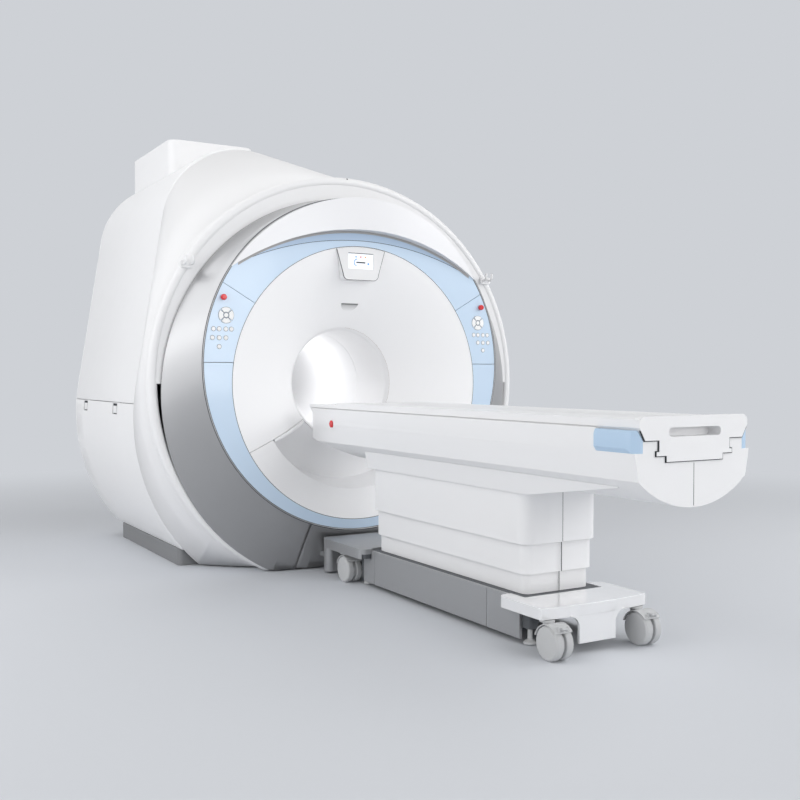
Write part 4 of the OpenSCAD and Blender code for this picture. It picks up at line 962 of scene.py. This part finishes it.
class SCANNER_OT_seams(bpy.types.Operator):
    """Joint lines down the foot end of the table's shell and of the pedestal covers"""

    bl_idname = "scanner.seams"
    bl_label = "Table seams"

    def execute(self, context):
        d = sizes("details")
        half = sizes("rings").joint / 2
        margin = 2 * MM
        for node, low, high in (
            ("table_shell", d.shell_joint_foot, d.shell_joint_head),
            ("pedestal_upper", margin, math.inf),
            ("pedestal_middle", margin, math.inf),
            ("pedestal_lower", margin, math.inf),
        ):
            corner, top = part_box(node)
            end = corner.y - FACE_Y
            foot, head = corner.z + low, min(corner.z + high, top.z - margin)
            outline = [(-half, foot), (half, foot), (half, head), (-half, head)]
            bm = bmesh.new()
            plate(bm, outline, end - 0.2 * MM, end + 2 * MM)
            add_piece(node + "_joint", bm, "shadow_gap", NODES[node]["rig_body"])
        return {"FINISHED"}


# The table's corners, as the casters are named
CORNERS = ("foot_left", "foot_right", "head_left", "head_right")
# CAD nodes that are shown with softened edges: finish, size of edge, the record's material slot and nodes
SOFT_EDGES = (
    ("sprayed_white_enamel", "small_edge", "white_cover", ["turret_cover", "table_shell", "cradle"]),
    ("moulded_white_abs", "small_edge", "white_trim", ["lower_shroud"]),
    ("cast_blue_polyurethane", "small_edge", "bumper_blue", ["bumper_left", "bumper_right"]),
    ("moulded_white_abs", "fine_edge", "white_trim", ["pedestal_upper", "pedestal_middle", "pedestal_lower"]),
    ("polished_aluminium", "small_edge", "base_silver", ["foot_plate"]),
    ("satin_silver_sheet", "small_edge", "base_silver", ["dock_end_cover"]),
    ("satin_silver_sheet", "fine_edge", "base_silver", ["side_panel_left", "side_panel_right"]),
    ("moulded_white_abs", "small_edge", "white_trim", ["display_pod"]),
    ("grey_nylon", "fine_edge", "caster_grey", ["caster_" + corner for corner in CORNERS]),
    ("grey_tread_rubber", "fine_edge", "wheel_grey", ["wheels_" + corner for corner in CORNERS]),
    ("grey_nylon", "fine_edge", "caster_grey", ["brake_pedal_left", "brake_pedal_right"]),
    ("grey_powder_coat", "small_edge", "plinth_paint", ["plinth"]),
)

# Finishes of the CAD nodes that are shown as they are, and of those that the rim, covers and ring stand for
NODE_FINISHES = {
    "brushed_stainless": ("magnet_vessel", "cold_head"),
    "cast_epoxy": ("gradient_coil",),
    "moulded_white_abs": ("transmit_coil", "bore_bridge"),
    "sprayed_white_enamel": (
        "bore_liner", "rear_cover", "coil_hook_left", "coil_hook_right",
        "front_rim", "upper_cover", "lower_cover_left", "lower_cover_right",
    ),
    "white_gelcoat": ("funnel_upper", "funnel_lower"),
    "gloss_blue_acrylic": ("panel_upper", "control_panel_left", "control_panel_right", "panel_lower"),
    "pearl_lacquer": ("brow",),
    "silver_metallic_lacquer": ("silver_ring", "dock_panel"),
    "lit_display_glass": ("display_screen",),
    "red_gloss_abs": ("stop_button_left", "stop_button_right", "table_stop_left", "table_stop_right"),
    "white_silicone": ("jog_pad_left", "jog_pad_right", "keypad_left", "keypad_right"),
    "dark_powder_coat": ("base_frame", "lift_cylinder"),
    "grey_nylon": ("levelling_feet",),
    "hard_chrome": ("lift_rod",),
}


class SCANNER_OT_mouldings(bpy.types.Operator):
    """Softened mouldings in place of the CAD nodes' sharp ones, and finishes on the other nodes"""

    bl_idname = "scanner.mouldings"
    bl_label = "Mouldings"

    def execute(self, context):
        for material, edge, slot, nodes in SOFT_EDGES:
            for node in nodes:
                self.moulding(node, material, edge, slot)
        for material, nodes in NODE_FINISHES.items():
            for node in nodes:
                paint(NODES[node].data, material)
        return {"FINISHED"}

    def moulding(self, node, material, edge, slot):
        """Stands a copy of a node with flat faces made whole and round edges in the node's place."""
        d = sizes("details")
        bm = node_copy(node)
        bmesh.ops.dissolve_limit(
            bm,
            angle_limit=math.radians(0.5),
            verts=bm.verts[:],
            edges=bm.edges[:],
            use_dissolve_boundaries=False,
        )
        if node.startswith("wheels"):
            self.slim_axle(bm, node, d.axle_radius)
        piece = add_piece(node + "_soft", bm, material, NODES[node]["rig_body"], [node], sharp=35)
        soften(piece, getattr(d, edge), segments=3, angle=35, harden=True)

    def slim_axle(self, bm, node, radius, margin=1.2, slimmer=0.9):
        """Draws the faceted axle in a little, so that it turns freely in its faceted bearing."""
        low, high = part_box(node)
        centre = (low + high) / 2
        for vert in bm.verts:
            out = (vert.co - centre) * Vector((0, 1, 1))
            if out.length < margin * radius:
                vert.co -= out * (1 - slimmer)


# Lamps: name, kind, place, what it points at, energy and other settings
LAMPS = (
    ("key", "SUN", (0.4, -0.9, 0.28), (0, 0, 0), 0.5, {"angle": math.radians(90)}),
    ("left_box", "AREA", (-5.0, 0.5, 4.5), (-0.9, 0.6, 1.3), 128, {"size": 5.4, "size_y": 5.4}),
    ("top_box", "AREA", (-0.4, 3.0, 5.6), (-0.3, 0.4, 2.0), 42, {"size": 4.5, "size_y": 3.0}),
    ("left_fill", "AREA", (-6.5, -1.5, 2.0), (-0.6, -0.2, 1.0), 92, {"size": 8.0, "size_y": 3.5}),
    ("front_box", "AREA", (1.0, -7.0, 1.9), (0.2, -2.2, 0.7), 62, {"size": 3.0, "size_y": 2.4}),
    ("right_box", "AREA", (4.6, -2.8, 4.4), (0.6, -0.9, 0.5), 165, {"size": 5.0, "size_y": 5.0}),
    ("bore_light", "POINT", (0, FACE_Y + 1.0, AXIS_Z + 0.12), (0, 0, 0), 2.6, {"shadow_soft_size": 0.12}),
)


class SCANNER_OT_stage(bpy.types.Operator):
    """Floor, backdrop, studio light and camera"""

    bl_idname = "scanner.stage"
    bl_label = "Stage"

    def execute(self, context):
        s = sizes("stage")
        scene = context.scene
        scene.view_settings.view_transform = "Standard"
        self.floor(scene, s)
        self.world(scene, s)
        for row in LAMPS:
            self.lamp(scene, *row)
        self.camera(scene, s)
        return {"FINISHED"}

    def floor(self, scene, s):
        """Round floor of seamless paper."""
        bm = bmesh.new()
        bmesh.ops.create_circle(bm, cap_ends=True, segments=128, radius=s.floor_radius)
        mesh = bpy.data.meshes.new("floor")
        bm.to_mesh(mesh)
        bm.free()
        floor = bpy.data.objects.new("floor", mesh)
        scene.collection.objects.link(floor)
        mesh.materials.append(self.paper(s))

    def lamp(self, scene, name, kind, place, aim, energy, settings):
        """A lamp that lights but isn't seen itself."""
        light = bpy.data.lights.new(name, kind)
        light.energy = energy
        if kind == "AREA":
            light.shape = "RECTANGLE"
        for key, value in settings.items():
            setattr(light, key, value)
        lamp = bpy.data.objects.new(name, light)
        lamp.location = place
        lamp.rotation_euler = (Vector(aim) - Vector(place)).to_track_quat("-Z", "Y").to_euler()
        lamp.visible_camera = False
        scene.collection.objects.link(lamp)

    def camera(self, scene, s):
        """Camera at the foot end of the table, beside it."""
        lens = bpy.data.cameras.new("camera")
        lens.lens = s.lens
        lens.sensor_width = s.sensor
        camera = bpy.data.objects.new("camera", lens)
        turn, tilt = s.camera_turn, s.camera_tilt
        level = math.cos(tilt)
        look = Vector((math.sin(turn) * level, math.cos(turn) * level, -math.sin(tilt)))
        camera.location = s.camera_place
        camera.rotation_euler = look.to_track_quat("-Z", "Y").to_euler()
        scene.collection.objects.link(camera)
        scene.camera = camera

    def seen(self, tree):
        """A socket that is 1 for what the camera sees, also in a mirror or through glass."""
        path = add_node(tree, "ShaderNodeLightPath")
        mirrored = add_node(
            tree,
            "ShaderNodeMath",
            {"operation": "MAXIMUM"},
            links={0: path.outputs["Is Camera Ray"], 1: path.outputs["Is Glossy Ray"]},
        )
        through = add_node(
            tree,
            "ShaderNodeMath",
            {"operation": "MAXIMUM"},
            links={0: mirrored.outputs[0], 1: path.outputs["Is Transmission Ray"]},
        )
        return through.outputs[0]

    def paper(self, s):
        """Seamless paper: dull and even, running into the backdrop's colour far from the scanner."""
        made = bpy.data.materials.new("seamless_paper")
        made.use_nodes = True
        tree = made.node_tree
        shader = tree.nodes["Principled BSDF"]
        shader.inputs["Base Color"].default_value = [*s.floor_tint, 1]
        shader.inputs["Roughness"].default_value = 0.9
        shader.inputs["Specular IOR Level"].default_value = 0.1
        place = add_node(tree, "ShaderNodeTexCoord")
        reach = add_node(
            tree, "ShaderNodeVectorMath", {"operation": "LENGTH"}, links={0: place.outputs["Object"]}
        )
        fade = add_node(
            tree,
            "ShaderNodeMapRange",
            {"interpolation_type": "SMOOTHSTEP"},
            inputs={"From Min": s.fade_start, "From Max": s.fade_end},
            links={"Value": reach.outputs["Value"]},
        )
        share = add_node(
            tree,
            "ShaderNodeMath",
            {"operation": "MULTIPLY"},
            links={0: fade.outputs["Result"], 1: self.seen(tree)},
        )
        plain = add_node(tree, "ShaderNodeEmission", inputs={"Color": (*s.backdrop, 1), "Strength": 1.0})
        mix = add_node(
            tree,
            "ShaderNodeMixShader",
            links={0: share.outputs[0], 1: shader.outputs[0], 2: plain.outputs[0]},
        )
        tree.links.new(mix.outputs[0], tree.nodes["Material Output"].inputs["Surface"])
        return made

    def world(self, scene, s):
        """Even light from all round, dimmer overhead, behind a plain backdrop."""
        world = bpy.data.worlds.new("studio")
        scene.world = world
        world.use_nodes = True
        tree = world.node_tree
        tree.nodes.clear()
        way = add_node(tree, "ShaderNodeTexCoord")
        split = add_node(tree, "ShaderNodeSeparateXYZ", links={"Vector": way.outputs["Generated"]})
        lift = add_node(
            tree,
            "ShaderNodeMapRange",
            inputs={"From Min": -0.1, "From Max": 0.9, "To Min": s.sky_low, "To Max": s.sky_high},
            links={"Value": split.outputs["Z"]},
        )
        light = add_node(
            tree,
            "ShaderNodeBackground",
            inputs={"Color": (1, 1, 1, 1)},
            links={"Strength": lift.outputs["Result"]},
        )
        plain = add_node(tree, "ShaderNodeBackground", inputs={"Color": (*s.backdrop, 1), "Strength": 1.0})
        mix = add_node(
            tree, "ShaderNodeMixShader", links={0: self.seen(tree), 1: light.outputs[0], 2: plain.outputs[0]}
        )
        add_node(tree, "ShaderNodeOutputWorld", links={"Surface": mix.outputs[0]})


class SCANNER_PT_panel(bpy.types.Panel):
    """Lists the scanner's builders in the sidebar"""

    bl_idname = "SCANNER_PT_panel"
    bl_label = "MRI scanner"
    bl_space_type = "VIEW_3D"
    bl_region_type = "UI"
    bl_category = "Scanner"

    def draw(self, context):
        for operator in OPERATORS:
            self.layout.operator(operator.bl_idname)


GROUPS = {
    "covers": CoverSizes,
    "rings": RingSizes,
    "details": DetailSizes,
    "colours": ScannerColours,
    "stage": StageSizes,
}
OPERATORS = (
    SCANNER_OT_rim,
    SCANNER_OT_covers,
    SCANNER_OT_silver,
    SCANNER_OT_front,
    SCANNER_OT_gaps,
    SCANNER_OT_display,
    SCANNER_OT_seams,
    SCANNER_OT_mouldings,
    SCANNER_OT_stage,
)


def register():
    for cls in (*GROUPS.values(), *OPERATORS, SCANNER_PT_panel):
        bpy.utils.register_class(cls)
    for key, cls in GROUPS.items():
        setattr(bpy.types.Scene, "scanner_" + key, PointerProperty(type=cls))


def unregister():
    for key in GROUPS:
        delattr(bpy.types.Scene, "scanner_" + key)
    for cls in reversed((*GROUPS.values(), *OPERATORS, SCANNER_PT_panel)):
        bpy.utils.unregister_class(cls)


def main():
    register()
    for operator in OPERATORS:
        group, name = operator.bl_idname.split(".")
        getattr(getattr(bpy.ops, group), name)()


if __name__ == "__main__":
    main()
